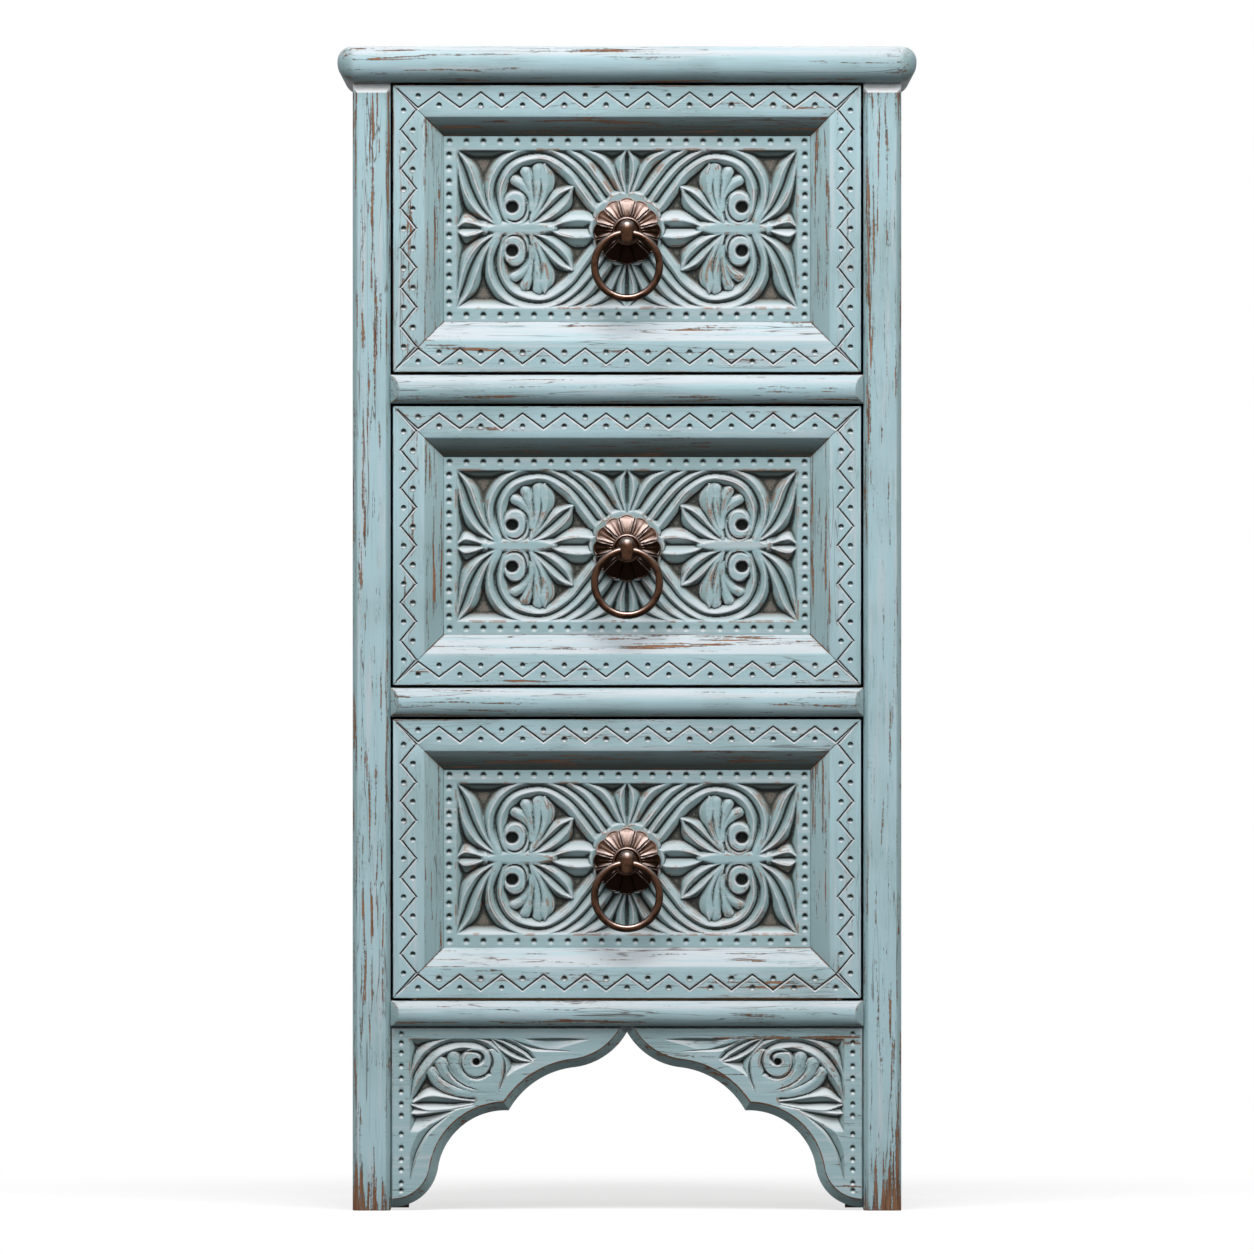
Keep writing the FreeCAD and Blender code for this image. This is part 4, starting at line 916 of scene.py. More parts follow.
def along_grain(tree, plain, axis):
    """Coordinates that stretch a pattern along one axis."""
    scale = tuple(GRAIN_ALONG if axis == each else GRAIN_ACROSS for each in "XYZ")
    return stretched(tree, plain, scale)


def finished(name, pattern, relief, surface, fill):
    """A material made from a node group, once; fill gives the group's values and the normal."""
    if name in bpy.data.materials:
        return bpy.data.materials[name]
    material = bpy.data.materials.new(name)
    material.use_nodes = True
    tree = material.node_tree
    shader = tree.nodes["Principled BSDF"]
    for label, value in surface.items():
        shader.inputs[label].default_value = value
    values, normal = fill(tree, add(tree, "ShaderNodeTexCoord").outputs["Object"])
    made = use(tree, pattern, **values)
    bump = add(tree, "ShaderNodeBump", {"Height": made["Height"], "Distance": relief, "Normal": normal})
    tree.links.new(made["Color"], shader.inputs["Base Color"])
    send(tree, shader, Roughness=made["Roughness"], Normal=bump.outputs[0])
    return material


def painted(axis, state):
    """Blue paint in a state of wear, with its streaks along an axis."""

    def fill(tree, plain):
        values = dict(STATES[state], Grain=along_grain(tree, plain, axis), Plain=plain)
        if values["Rub"]:
            edges = use(tree, "Worn edges", Radius=EDGE_RADIUS)
            values["Edge"], normal = edges["Edge"], edges["Normal"]
        else:
            normal = surface_normal(tree)
        on_end = ramp(tree, "end grain", combine(tree, "ABSOLUTE", facing(tree)[axis]))
        values["Wear"] = combine(tree, "SUBTRACT", values["Wear"], on_end)
        for mask in ("Crest", "Hollow", "Depth", "Rubbed"):
            values[mask] = attribute(tree, mask.lower())
        return values, normal

    return finished(f"{state}_paint_{axis}", "Worn paint", PAINT_RELIEF, PAINT_SURFACE, fill)


def scored():
    """Paint on the walls of scored grooves and punched dots, dark with dirt and with painted shade on walls
    that face down, and a painted highlight on walls that face up.
    """

    def fill(tree, plain):
        values = dict(
            STATES["carved"], Grain=along_grain(tree, plain, "X"), Plain=plain,
            Hollow=ramp(tree, "groove dirt", noise(tree, "groove dirt", plain)),
            # painted highlight: groove walls that face up get chalk and near-white paint
            Crest=ramp(tree, "groove highlights", facing(tree)["Z"]),
        )
        return values, surface_normal(tree)

    return finished("scored_paint", "Worn paint", PAINT_RELIEF, PAINT_SURFACE, fill)


def wooden(kind, axis, light, dark):
    """Unpainted wood with its grain along an axis."""

    def fill(tree, plain):
        values = dict(Grain=along_grain(tree, plain, axis), Light=opaque(light), Dark=opaque(dark))
        return values, fine_edges(tree)["Normal"]

    return finished(f"{kind}_{axis}", "Wood grain", WOOD_RELIEF, WOOD_SURFACE, fill)


def bronze(part):
    """Aged bronze on one part of a pull."""

    def fill(tree, plain):
        edges = fine_edges(tree)
        values = dict(BRONZES[part], Plain=plain, Edge=edges["Edge"])
        for mask in ("Crest", "Hollow"):
            values[mask] = attribute(tree, mask.lower())
        return values, edges["Normal"]

    return finished(f"{part}_bronze", "Aged metal", METAL_RELIEF, METAL_SURFACE, fill)


def zinc():
    """Plated steel of the screws and nuts."""

    def fill(tree, plain):
        return dict(Plain=plain), fine_edges(tree)["Normal"]

    return finished("zinc_plate", "Plated metal", METAL_RELIEF, METAL_SURFACE, fill)


# Mesh work

ROUND_PROFILE = 0.5
EASE_SEGMENTS = 2


def block(low, high):
    """A cuboid between two corners."""
    bm = bmesh.new()
    low, high = Vector(low), Vector(high)
    bmesh.ops.create_cube(bm, size=1.0)
    bmesh.ops.scale(bm, vec=high - low, verts=bm.verts[:])
    bmesh.ops.translate(bm, vec=(low + high) / 2, verts=bm.verts[:])
    return bm


def edges_at(bm, axis, value):
    """Edges that lie where an axis has one value."""
    return [
        edge for edge in bm.edges if all(abs(getattr(vert.co, axis) - value) < WELD for vert in edge.verts)
    ]


def running(edges, axis):
    """Those of some edges that run along an axis."""
    return [edge for edge in edges if abs(getattr(edge.verts[0].co - edge.verts[1].co, axis)) > WELD]


def everything(bm):
    return bm.verts[:] + bm.edges[:] + bm.faces[:]


def extruded(bm, edges):
    """Points and edges drawn out of some edges."""
    made = bmesh.ops.extrude_edge_only(bm, edges=edges)["geom"]
    verts = [item for item in made if isinstance(item, bmesh.types.BMVert)]
    return verts, [item for item in made if isinstance(item, bmesh.types.BMEdge)]


def ease(bm, edges, width, segments):
    """Round or chamfer some edges."""
    bmesh.ops.bevel(
        bm, geom=edges, offset=width, offset_type="OFFSET", segments=segments, profile=ROUND_PROFILE,
        affect="EDGES", material=-1, clamp_overlap=True,
    )


def ease_all(bm, width):
    """Round every sharp arris."""
    sharp = [edge for edge in bm.edges if edge.is_manifold and edge.calc_face_angle() > SHARP_ANGLE]
    ease(bm, sharp, width, EASE_SEGMENTS)


def slice_off(bm, point, normal):
    """Cut away what lies beyond a plane, and close the cut."""
    bmesh.ops.bisect_plane(bm, geom=everything(bm), plane_co=point, plane_no=normal, clear_outer=True)
    bmesh.ops.holes_fill(bm, edges=bm.edges[:], sides=0)


def new_object(bm, name, materials):
    """An object in the scene made from a bmesh, which is used up."""
    mesh = bpy.data.meshes.new(name)
    bm.to_mesh(mesh)
    bm.free()
    for material in materials:
        mesh.materials.append(material)
    item = bpy.data.objects.new(name, mesh)
    bpy.context.scene.collection.objects.link(item)
    return item


def make_piece(bm, name, body, nodes, materials, weld=True):
    """Turn a shaped bmesh into a piece that stands for CAD nodes and moves with a body."""
    if weld:
        bmesh.ops.remove_doubles(bm, verts=bm.verts[:], dist=WELD)
        bmesh.ops.recalc_face_normals(bm, faces=bm.faces[:])
    piece = new_object(bm, name, materials)
    piece.data.shade_smooth()
    piece.data.set_sharp_from_angle(angle=SHARP_ANGLE)
    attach(piece, body)
    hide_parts(*nodes)


def carved_sheet(place, marks):
    """A grid whose points go to place[row, column]; marks are masks kept on the points."""
    bm = bmesh.new()
    rows, columns = (count - 1 for count in place.shape[:2])
    bmesh.ops.create_grid(bm, x_segments=columns, y_segments=rows, size=1.0)
    layers = {name: bm.verts.layers.float.new(name) for name in marks}
    for vert in bm.verts:
        column = round((vert.co.x + 1) / 2 * columns)
        row = round((vert.co.y + 1) / 2 * rows)
        vert.co = place[row, column]
        for name, layer in layers.items():
            vert[layer] = marks[name][row, column]
    return bm


def thicken(bm, moves):
    """Close a carved sheet into a board: its rim is drawn out once for each move, which places the points."""
    rim = [edge for edge in bm.edges if edge.is_boundary]
    for move in moves:
        verts, rim = extruded(bm, rim)
        for vert in verts:
            vert.co = move(vert.co)
    bmesh.ops.holes_fill(bm, edges=rim, sides=0)


def shaped(base, tools, materials=()):
    """A mesh made by joining and cutting closed shapes into a base; a tool is an operation and a shape."""
    target = new_object(base, "BASE", materials)
    objects = [target]
    for operation, bm in tools:
        item = new_object(bm, operation, materials)
        step = target.modifiers.new(operation, "BOOLEAN")
        step.operation = operation
        step.solver = "MANIFOLD"
        step.object = item
        objects.append(item)
    view = bpy.context.evaluated_depsgraph_get()
    mesh = bpy.data.meshes.new_from_object(target.evaluated_get(view))
    for item in objects:
        bpy.data.objects.remove(item)
    return mesh


def turned(profile, place, turns=48):
    """A closed shape turned from a profile of radius and height in millimetres, both ends on the axis."""
    bm = bmesh.new()
    verts = [bm.verts.new((radius * MM, 0, height * MM)) for radius, height in profile]
    edges = [bm.edges.new(pair) for pair in zip(verts, verts[1:])]
    bmesh.ops.spin(bm, geom=verts + edges, cent=(0, 0, 0), axis=(0, 0, 1), angle=2 * math.pi, steps=turns)
    bmesh.ops.remove_doubles(bm, verts=bm.verts[:], dist=WELD)
    bmesh.ops.recalc_face_normals(bm, faces=bm.faces[:])
    bmesh.ops.transform(bm, matrix=place, verts=bm.verts[:])
    return bm


def carving_marks(carved, height, cells_per_mm):
    """Masks of crests, hollows and depth from a grid of heights, without and with the punched dots."""
    crest = np.clip((carved - softened(carved, CREST_REACH * cells_per_mm)) / CREST_FULL, 0, 1)
    hollow = np.clip((softened(height, HOLLOW_REACH * cells_per_mm) - height) / HOLLOW_FULL, 0, 1)
    return {"crest": crest, "hollow": hollow, "depth": np.maximum(height / GROUND, 0)}


# The pieces, the finishes and the stage, each built by an operator

class ChestPiece:
    """What the operators share."""

    bl_options = {"REGISTER", "UNDO"}


class CHEST_OT_finishes(ChestPiece, Operator):
    """Make the node groups that the finishes share"""

    bl_idname = "chest.finishes"
    bl_label = "Finishes"

    def execute(self, context):
        look = context.scene.chest_finish
        edge_group()
        grain_group()
        paint_group(look)
        patina_group(look)
        plate_group(look)
        return {"FINISHED"}


class CHEST_OT_top_board(ChestPiece, Operator):
    """Build the top board with its bullnose"""

    bl_idname = "chest.top_board"
    bl_label = "Top board"

    corner_round: length("Corner round", "Front corners seen from above", 0.016)
    upper_round: length("Upper round", "Upper half of the bullnose", 0.010)
    lower_round: length("Lower round", "Lower half of the bullnose", 0.013)

    corner_segments = 10
    nose_segments = 8

    def execute(self, context):
        low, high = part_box("top_board")
        bm = block(low, high)
        ease(bm, running(edges_at(bm, "y", low.y), "z"), self.corner_round, self.corner_segments)
        for level, width in ((high.z, self.upper_round), (low.z, self.lower_round)):
            rim = edges_at(bm, "z", level)
            rim = [edge for edge in rim if min(vert.co.y for vert in edge.verts) < high.y - WELD]
            ease(bm, rim, width, self.nose_segments)
        ease_all(bm, context.scene.chest_carving.easing)
        make_piece(bm, "painted_top_board", "carcass", ["top_board"], [painted("X", "nosed")])
        return {"FINISHED"}


class CHEST_OT_posts(ChestPiece, Operator):
    """Build the four posts with their chamfers, and the bevel at the top of the front ones"""

    bl_idname = "chest.posts"
    bl_label = "Posts"

    chamfer: length("Chamfer", "Long chamfers on the outer face", 0.0032)
    bevel_height: length("Bevel height", "Bevel at the top of a front post, up and down", 0.007)
    bevel_depth: length("Bevel depth", "Bevel at the top of a front post, front to back", 0.005)
    rub_reach: length("Rub reach", "How far down the paint is rubbed below the bevel", 0.06)
    foot_reach: length("Foot reach", "How far up the paint is rubbed from the floor", 0.04)

    foot_rub = 1.25
    bevel_rub = 0.55
    # painted highlight: mark on the top bevel that turns it near white
    bevel_highlight = 2.0
    bevel_fade = 0.001

    def wear_ends(self, bm, front, top):
        """Mark the bevel at the top for a painted highlight, and the faces below it and at the foot as
        rubbed.
        """
        lip = top - self.bevel_height
        behind = front + self.bevel_depth + self.bevel_fade
        levels = (self.foot_reach, lip - self.rub_reach, lip - self.bevel_fade)
        cuts = [((0, 0, level), (0, 0, 1)) for level in levels]
        cuts.append(((0, behind, 0), (0, 1, 0)))
        for point, normal in cuts:
            bmesh.ops.bisect_plane(bm, geom=everything(bm), plane_co=point, plane_no=normal)
        crest = bm.verts.layers.float.new("crest")
        rubbed = bm.verts.layers.float.new("rubbed")
        for vert in bm.verts:
            on_bevel = vert.co.z > lip and front + WELD < vert.co.y < behind - WELD
            # painted highlight: the bevel's mark lifts it to near-white paint
            vert[crest] = self.bevel_highlight * on_bevel
            below_bevel = lip - self.rub_reach + WELD < vert.co.z <= lip
            at_foot = vert.co.z < self.foot_reach - WELD
            vert[rubbed] = max(self.bevel_rub * below_bevel, self.foot_rub * at_foot)

    def execute(self, context):
        for side in SIDES:
            for end in ("front", "rear"):
                node = f"{side}_{end}_post"
                low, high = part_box(node)
                face = low.y if end == "front" else high.y
                bm = block(low, high)
                ease(bm, running(edges_at(bm, "y", face), "z"), self.chamfer, 1)
                if end == "front":
                    point = (0, face, high.z - self.bevel_height)
                    slice_off(bm, point, (0, -self.bevel_height, self.bevel_depth))
                ease_all(bm, context.scene.chest_carving.easing)
                self.wear_ends(bm, face, high.z)
                make_piece(bm, f"painted_{node}", "carcass", [node], [painted("Z", "worn")])
        return {"FINISHED"}


class CHEST_OT_front_rails(ChestPiece, Operator):
    """Build the three front rails with their rounded noses and returned ends"""

    bl_idname = "chest.front_rails"
    bl_label = "Front rails"

    end_return: length("Return", "Bevelled end of the nose", 0.0055)

    nose_segments = 8

    def execute(self, context):
        post_low, post_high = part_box("left_front_post")
        half, front = -post_high.x, post_low.y
        for tier in TIERS:
            node = f"{tier}_front_rail"
            low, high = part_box(node)
            nose = front - low.y
            bm = block((-half, low.y, low.z), (half, high.y, high.z))
            front_edges = running(edges_at(bm, "y", low.y), "x")
            ease(bm, front_edges, (high.z - low.z) / 2 - WELD, self.nose_segments)
            for way in SIDES.values():
                slice_off(bm, (way * half, front, 0), (way * nose, -self.end_return, 0))
            ease_all(bm, context.scene.chest_carving.easing)
            make_piece(bm, f"painted_{node}", "carcass", [node], [painted("X", "nosed")])
        return {"FINISHED"}


class CHEST_OT_brackets(ChestPiece, Operator):
    """Build the two carved brackets of the arch"""

    bl_idname = "chest.brackets"
    bl_label = "Arch brackets"

    chamfer: length("Chamfer", "Chamfer along the arch", 0.006)

    apex = (0.0, 122.6)
    cusp = (81.3, 68.7)
    foot = (162.5, 2.4)
    upper_turn = (0.45, 27.0, -1)
    lower_turn = (0.6, 42.0, 1)
    upper_columns = 210
    lower_columns = 160
    rows = 132
    fan_columns = 4
    arc_steps = 60
    cells_per_mm = 1.4
    arris_line = 0.84
    arris_rub = 3.2

    def double_arc(self, start, end, split, angle, turn):
        """Two arcs that meet on the chord and bend opposite ways."""
        start, end = np.array(start), np.array(end)
        angle = math.radians(angle)
        chord = np.hypot(*(end - start))
        ahead = (end - start) / chord
        across = np.array([-ahead[1], ahead[0]]) * turn
        swing = np.linspace(-angle, angle, self.arc_steps)
        runs = []
        for low, high, way in ((0, split, 1), (split, 1, -1)):
            size = (high - low) * chord
            radius = size / (2 * math.sin(angle))
            reach = low * chord + size / 2 + radius * np.sin(swing)
            off = way * radius * (np.cos(swing) - math.cos(angle))
            runs.append(start + reach[:, None] * ahead + off[:, None] * across)
        return np.vstack([runs[0], runs[1][1:]])

    @staticmethod
    def resampled(line, count):
        """A line as evenly spaced points."""
        line = np.array(line)
        sizes = np.hypot(*np.diff(line, axis=0).T)
        done = np.concatenate([[0], np.cumsum(sizes)])
        steps = np.linspace(0, done[-1], count)
        return np.column_stack([np.interp(steps, done, values) for values in line.T])

    @staticmethod
    def inward(line):
        """Unit normals on the left of a line."""
        run = np.gradient(line, axis=0)
        run /= np.hypot(*run.T)[:, None]
        return np.column_stack([-run[:, 1], run[:, 0]])

    def stations(self, head):
        """Column by column: arch's edge, front face's edge, depth of that edge, and board's top or side."""
        cut = self.chamfer / MM
        upper = self.double_arc(self.apex, self.cusp, *self.upper_turn)
        lower = self.double_arc(self.cusp, self.foot, *self.lower_turn)
        over, under = self.inward(upper), self.inward(lower)
        first, second = over[-1], under[0]
        mitre = np.array(self.cusp) + cut * (first + second) / (1 + first @ second)
        trimmed = []
        for line, normals, other in ((upper, over, lower), (lower, under, upper)):
            moved = line + cut * normals
            gap, _, _ = along(moved, other)
            trimmed.append(moved[gap > cut])
        lean = over[0]
        tall = cut - (head - self.apex[1]) * lean[1]
        meet = tall / lean[0]
        post = self.foot[0]
        upper_face = np.vstack([[(meet, head)], trimmed[0], [mitre]])
        lower_face = np.vstack([[mitre], trimmed[1], [(post, trimmed[1][-1][1])]])
        share = np.linspace(0, 1, self.fan_columns)
        fan = np.column_stack([share * meet, np.full(self.fan_columns, head)])
        arch = np.vstack([
            np.tile(self.apex, (self.fan_columns, 1)),
            self.resampled(upper, self.upper_columns)[1:],
            self.resampled(lower, self.lower_columns)[1:],
        ])
        face = np.vstack([
            fan,
            self.resampled(upper_face, self.upper_columns)[1:],
            self.resampled(lower_face, self.lower_columns)[1:],
        ])
        sunk_by = np.concatenate([tall * (1 - share), np.zeros(len(face) - self.fan_columns)])
        top = self.resampled([(meet, head), (post, head)], self.upper_columns)[1:]
        side = self.resampled([(post, head), (post, lower_face[-1][1])], self.lower_columns)[1:]
        return arch, face, sunk_by, np.vstack([fan, top, side])

    def execute(self, context):
        low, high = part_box("left_spandrel")
        head = high.z / MM
        arch, face, sunk_by, far = self.stations(head)
        share = np.linspace(0, 1, self.rows)[:, None, None]
        spots = face[None] + share * (far - face)[None]
        flat_spots = spots.reshape(-1, 2)
        carved = bracket_heights(flat_spots)
        height = punched(carved, flat_spots, BRACKET_PITS, *BRACKET_PIT)
        blur = TOOL_SOFTNESS * self.cells_per_mm
        carved, height = (softened(grid.reshape(spots.shape[:2]), blur) for grid in (carved, height))
        marks = carving_marks(carved, height, self.cells_per_mm)
        height = height - sunk_by[None] * (1 - share[:, :, 0])
        rim = np.zeros((1, len(arch)))
        marks = {name: np.vstack([rim, rim, mask]) for name, mask in marks.items()}
        marks["rubbed"] = np.zeros_like(marks["crest"])
        marks["rubbed"][2] = self.arris_rub
        beside = arch + self.arris_line * (face - arch)
        lowered = (1 - self.arris_line) * (rim - self.chamfer / MM) + self.arris_line * height[:1]
        spots = np.vstack([arch[None], beside[None], spots])
        height = np.vstack([rim - self.chamfer / MM, lowered, height])
        for side, way in SIDES.items():
            place = np.dstack([way * spots[:, :, 0] * MM, low.y - height * MM, spots[:, :, 1] * MM])
            bm = carved_sheet(place, marks)
            bmesh.ops.remove_doubles(bm, verts=bm.verts[:], dist=WELD)
            thicken(bm, [lambda co: Vector((co.x, high.y, co.z))])
            node = f"{side}_spandrel"
            make_piece(bm, f"carved_{node}", "carcass", [node], [painted("X", "bracket")])
        return {"FINISHED"}


class CHEST_OT_drawer_frames(ChestPiece, Operator):
    """Build the mitred frames of the drawer fronts with their scored zigzags and punched dots"""

    bl_idname = "chest.drawer_frames"
    bl_label = "Drawer frames"

    flat: length("Flat band", "Flat band of the frame", 0.0215)
    bevel: length("Bevel", "Sloping band inside the flat one", 0.0133)
    drop: length("Bevel drop", "Frame's face to the panel's face", 0.009)
    mitre_gap: length("Mitre gap", "Hairline left at each side of a mitre", 0.0001)
    corner: length("Corner start", "Outer corner to the start of the groove", 0.0028)
    first: length("First valley", "End of a member to the first valley of its zigzag", 0.0172)
    peak: length("Peaks", "Outer edge to the peaks of the zigzag", 0.0052)
    valley: length("Valleys", "Outer edge to the valleys of the zigzag", 0.0158)
    outer_pits: length("Outer dots", "Outer edge to the dots over the valleys", 0.0072)
    inner_pits: length("Inner dots", "Outer edge to the dots under the peaks", 0.0136)
    lift: length("Lift", "How far the cutter stands out of the face", 0.0006)

    bevel_lean = 0.4
    pit_lift = 0.1
    pit_turns = 14
    pit_rings = 8
    # places of the finishes in a member's list; those of the upright members come after the others
    flat_paint, groove_paint, bevel_paint = range(3)
    upright = 3

    def member(self, size, thickness, easing):
        """A mitred member along X, its outer edge at height 0 and its face at depth 0."""
        bm = bmesh.new()
        wide = self.flat + self.bevel
        section = [(0, 0), (0, self.flat), (self.drop, wide), (thickness, wide), (thickness, 0)]
        verts = [bm.verts.new((-size / 2, y, z)) for y, z in section]
        face = bm.faces.new(verts)
        made = bmesh.ops.extrude_face_region(bm, geom=[face])["geom"]
        far = [item for item in made if isinstance(item, bmesh.types.BMVert)]
        bmesh.ops.translate(bm, vec=(size, 0, 0), verts=far)
        bmesh.ops.recalc_face_normals(bm, faces=bm.faces[:])
        for way in SIDES.values():
            slice_off(bm, (way * (size / 2 - self.mitre_gap), 0, 0), (way, 0, 1))
        ease_all(bm, easing)
        return bm

    def cutter(self, size, work):
        """The zigzag's groove and the dots, as a solid that stands out of the face."""
        periods = round((size - 2 * self.first) / work.zigzag_pitch)
        step = (size - 2 * self.first) / (2 * periods)
        path = [(self.corner - size / 2, self.corner)]
        pits = []
        for number in range(2 * periods + 1):
            x = self.first - size / 2 + number * step
            low = number % 2 == 0
            path.append((x, self.valley if low else self.peak))
            pits.append((x, self.outer_pits if low else self.inner_pits))
        path.append((size / 2 - self.corner, self.corner))
        leg = math.atan2(self.valley - self.peak, step)
        half = work.groove_width / 2 / math.cos(leg) * (1 + self.lift / work.groove_depth)
        bm = bmesh.new()
        x, z = path[0]
        corners = [(x, -self.lift, z - half), (x, -self.lift, z + half), (x, work.groove_depth, z)]
        section = bm.faces.new([bm.verts.new(corner) for corner in corners])
        rim = section.edges[:]
        for (x, z), (next_x, next_z) in zip(path, path[1:]):
            verts, rim = extruded(bm, rim)
            bmesh.ops.translate(bm, vec=(next_x - x, 0, next_z - z), verts=verts)
        bmesh.ops.holes_fill(bm, edges=rim, sides=0)
        radius = work.pit_width / 2
        ball = dict(u_segments=self.pit_turns, v_segments=self.pit_rings, radius=radius)
        for x, z in pits:
            spot = Matrix.Translation((x, -radius * self.pit_lift, z))
            bmesh.ops.create_uvsphere(bm, matrix=spot, **ball)
        bmesh.ops.recalc_face_normals(bm, faces=bm.faces[:])
        for face in bm.faces:
            face.material_index = self.groove_paint
        return bm

    def scored_member(self, size, thickness, work):
        """A member with its zigzag cut in, as a mesh."""
        base = self.member(size, thickness, work.easing)
        tools = [("DIFFERENCE", self.cutter(size, work))]
        mesh = shaped(base, tools, (painted("X", "kept"), scored()))
        # bevel faces take the bevel paint, with more wear and the strongest painted shade where they face
        # down
        for face in mesh.polygons:
            slopes = face.normal.z > self.bevel_lean and face.normal.y < -self.bevel_lean
            if face.material_index == self.flat_paint and slopes:
                face.material_index = self.bevel_paint
        return mesh

    def execute(self, context):
        work = context.scene.chest_carving
        for tier in TIERS:
            node = f"{tier}_drawer_frame"
            low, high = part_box(node)
            middle = (low + high) / 2
            size = high - low
            spots = (
                (size.x, 0, (0, low.y, low.z), 0),
                (size.x, 180, (0, low.y, high.z), 0),
                (size.z, 90, (low.x, low.y, middle.z), self.upright),
                (size.z, -90, (high.x, low.y, middle.z), self.upright),
            )
            bm = bmesh.new()
            for span, turn, start, offset in spots:
                mesh = self.scored_member(span, size.y, work)
                mesh.transform(Matrix.Translation(start) @ Matrix.Rotation(math.radians(turn), 4, "Y"))
                before = len(bm.faces)
                bm.from_mesh(mesh)
                bm.faces.ensure_lookup_table()
                for face in bm.faces[before:]:
                    if face.material_index != self.groove_paint:
                        face.material_index += offset
                bpy.data.meshes.remove(mesh)
            materials = []
            for axis in "XZ":
                materials += [painted(axis, "kept"), scored(), painted(axis, "bevel")]
            bmesh.ops.triangulate(bm, faces=bm.faces[:])
            make_piece(bm, f"scored_{node}", f"{tier}_drawer", [node], materials, weld=False)
        return {"FINISHED"}


class CHEST_OT_drawer_panels(ChestPiece, Operator):
    """Build the carved panels of the drawer fronts"""

    bl_idname = "chest.drawer_panels"
    bl_label = "Drawer panels"

    tongue: length("Tongue", "Tongue of the panel in the frame", 0.007)
    tongue_start: length("Tongue start", "Panel's face to the front of its tongue", 0.005)
    tongue_thickness: length("Tongue thickness", "Tongue of the panel in the frame", 0.004)

    def heights(self, cell):
        """Heights and masks over a whole panel; only a quarter of it is worked out."""
        half_u, half_v = PANEL_HALF
        columns = 2 * round(half_u / cell)
        rows = 2 * round(half_v / cell)
        u = np.linspace(-half_u, half_u, columns + 1)
        v = np.linspace(-half_v, half_v, rows + 1)
        quarter_u, quarter_v = np.meshgrid(u[columns // 2:], v[rows // 2:])
        spots = np.column_stack([quarter_u.ravel(), quarter_v.ravel()])
        quarter = panel_heights(spots).reshape(quarter_u.shape)
        upper = np.hstack([quarter[:, :0:-1], quarter])
        height = np.vstack([upper[:0:-1], upper])
        all_u, all_v = np.meshgrid(u, v)
        spots = np.column_stack([all_u.ravel(), all_v.ravel()])
        dotted = punched(height.ravel(), spots, panel_pits(), *PANEL_PIT).reshape(all_u.shape)
        carved, dotted = (softened(grid, TOOL_SOFTNESS / cell) for grid in (height, dotted))
        marks = carving_marks(carved, dotted, 1 / cell)
        # dirt round the pull's plate, with painted shadow that grows towards the bottom of it
        round_plate = np.clip((PLATE_SHADOW - np.hypot(all_u, all_v)) / PLATE_SHADOW_FADE, 0, 1)
        even, lower = PLATE_SHADOW_LEVEL
        round_plate *= np.clip(even - lower * all_v / PLATE_SHADOW, 0, 1)
        marks["hollow"] = np.maximum(marks["hollow"], round_plate)
        return all_u / half_u, all_v / half_v, dotted, marks

    def execute(self, context):
        across, upward, height, marks = self.heights(context.scene.chest_carving.cell / MM)
        for tier in TIERS:
            node = f"{tier}_drawer_panel"
            low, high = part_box(node)
            middle = (low + high) / 2
            half_x = (high.x - low.x) / 2 - self.tongue
            half_z = (high.z - low.z) / 2 - self.tongue
            depth = low.y - np.minimum(height, 0) * MM
            place = np.dstack([across * half_x, depth, middle.z + upward * half_z])
            bm = carved_sheet(place, marks)
            front = low.y + self.tongue_start
            back = front + self.tongue_thickness
            wide = ((half_x + self.tongue) / half_x, (half_z + self.tongue) / half_z)

            def at(depth, scale=(1, 1)):
                out, up = scale
                return lambda co: Vector((co.x * out, depth, middle.z + (co.z - middle.z) * up))

            narrow = (1 / wide[0], 1 / wide[1])
            thicken(bm, [at(front), at(front, wide), at(back), at(back, narrow), at(high.y)])
            body = f"{tier}_drawer"
            make_piece(bm, f"carved_{node}", body, [node], [painted("X", "carved")])
        return {"FINISHED"}


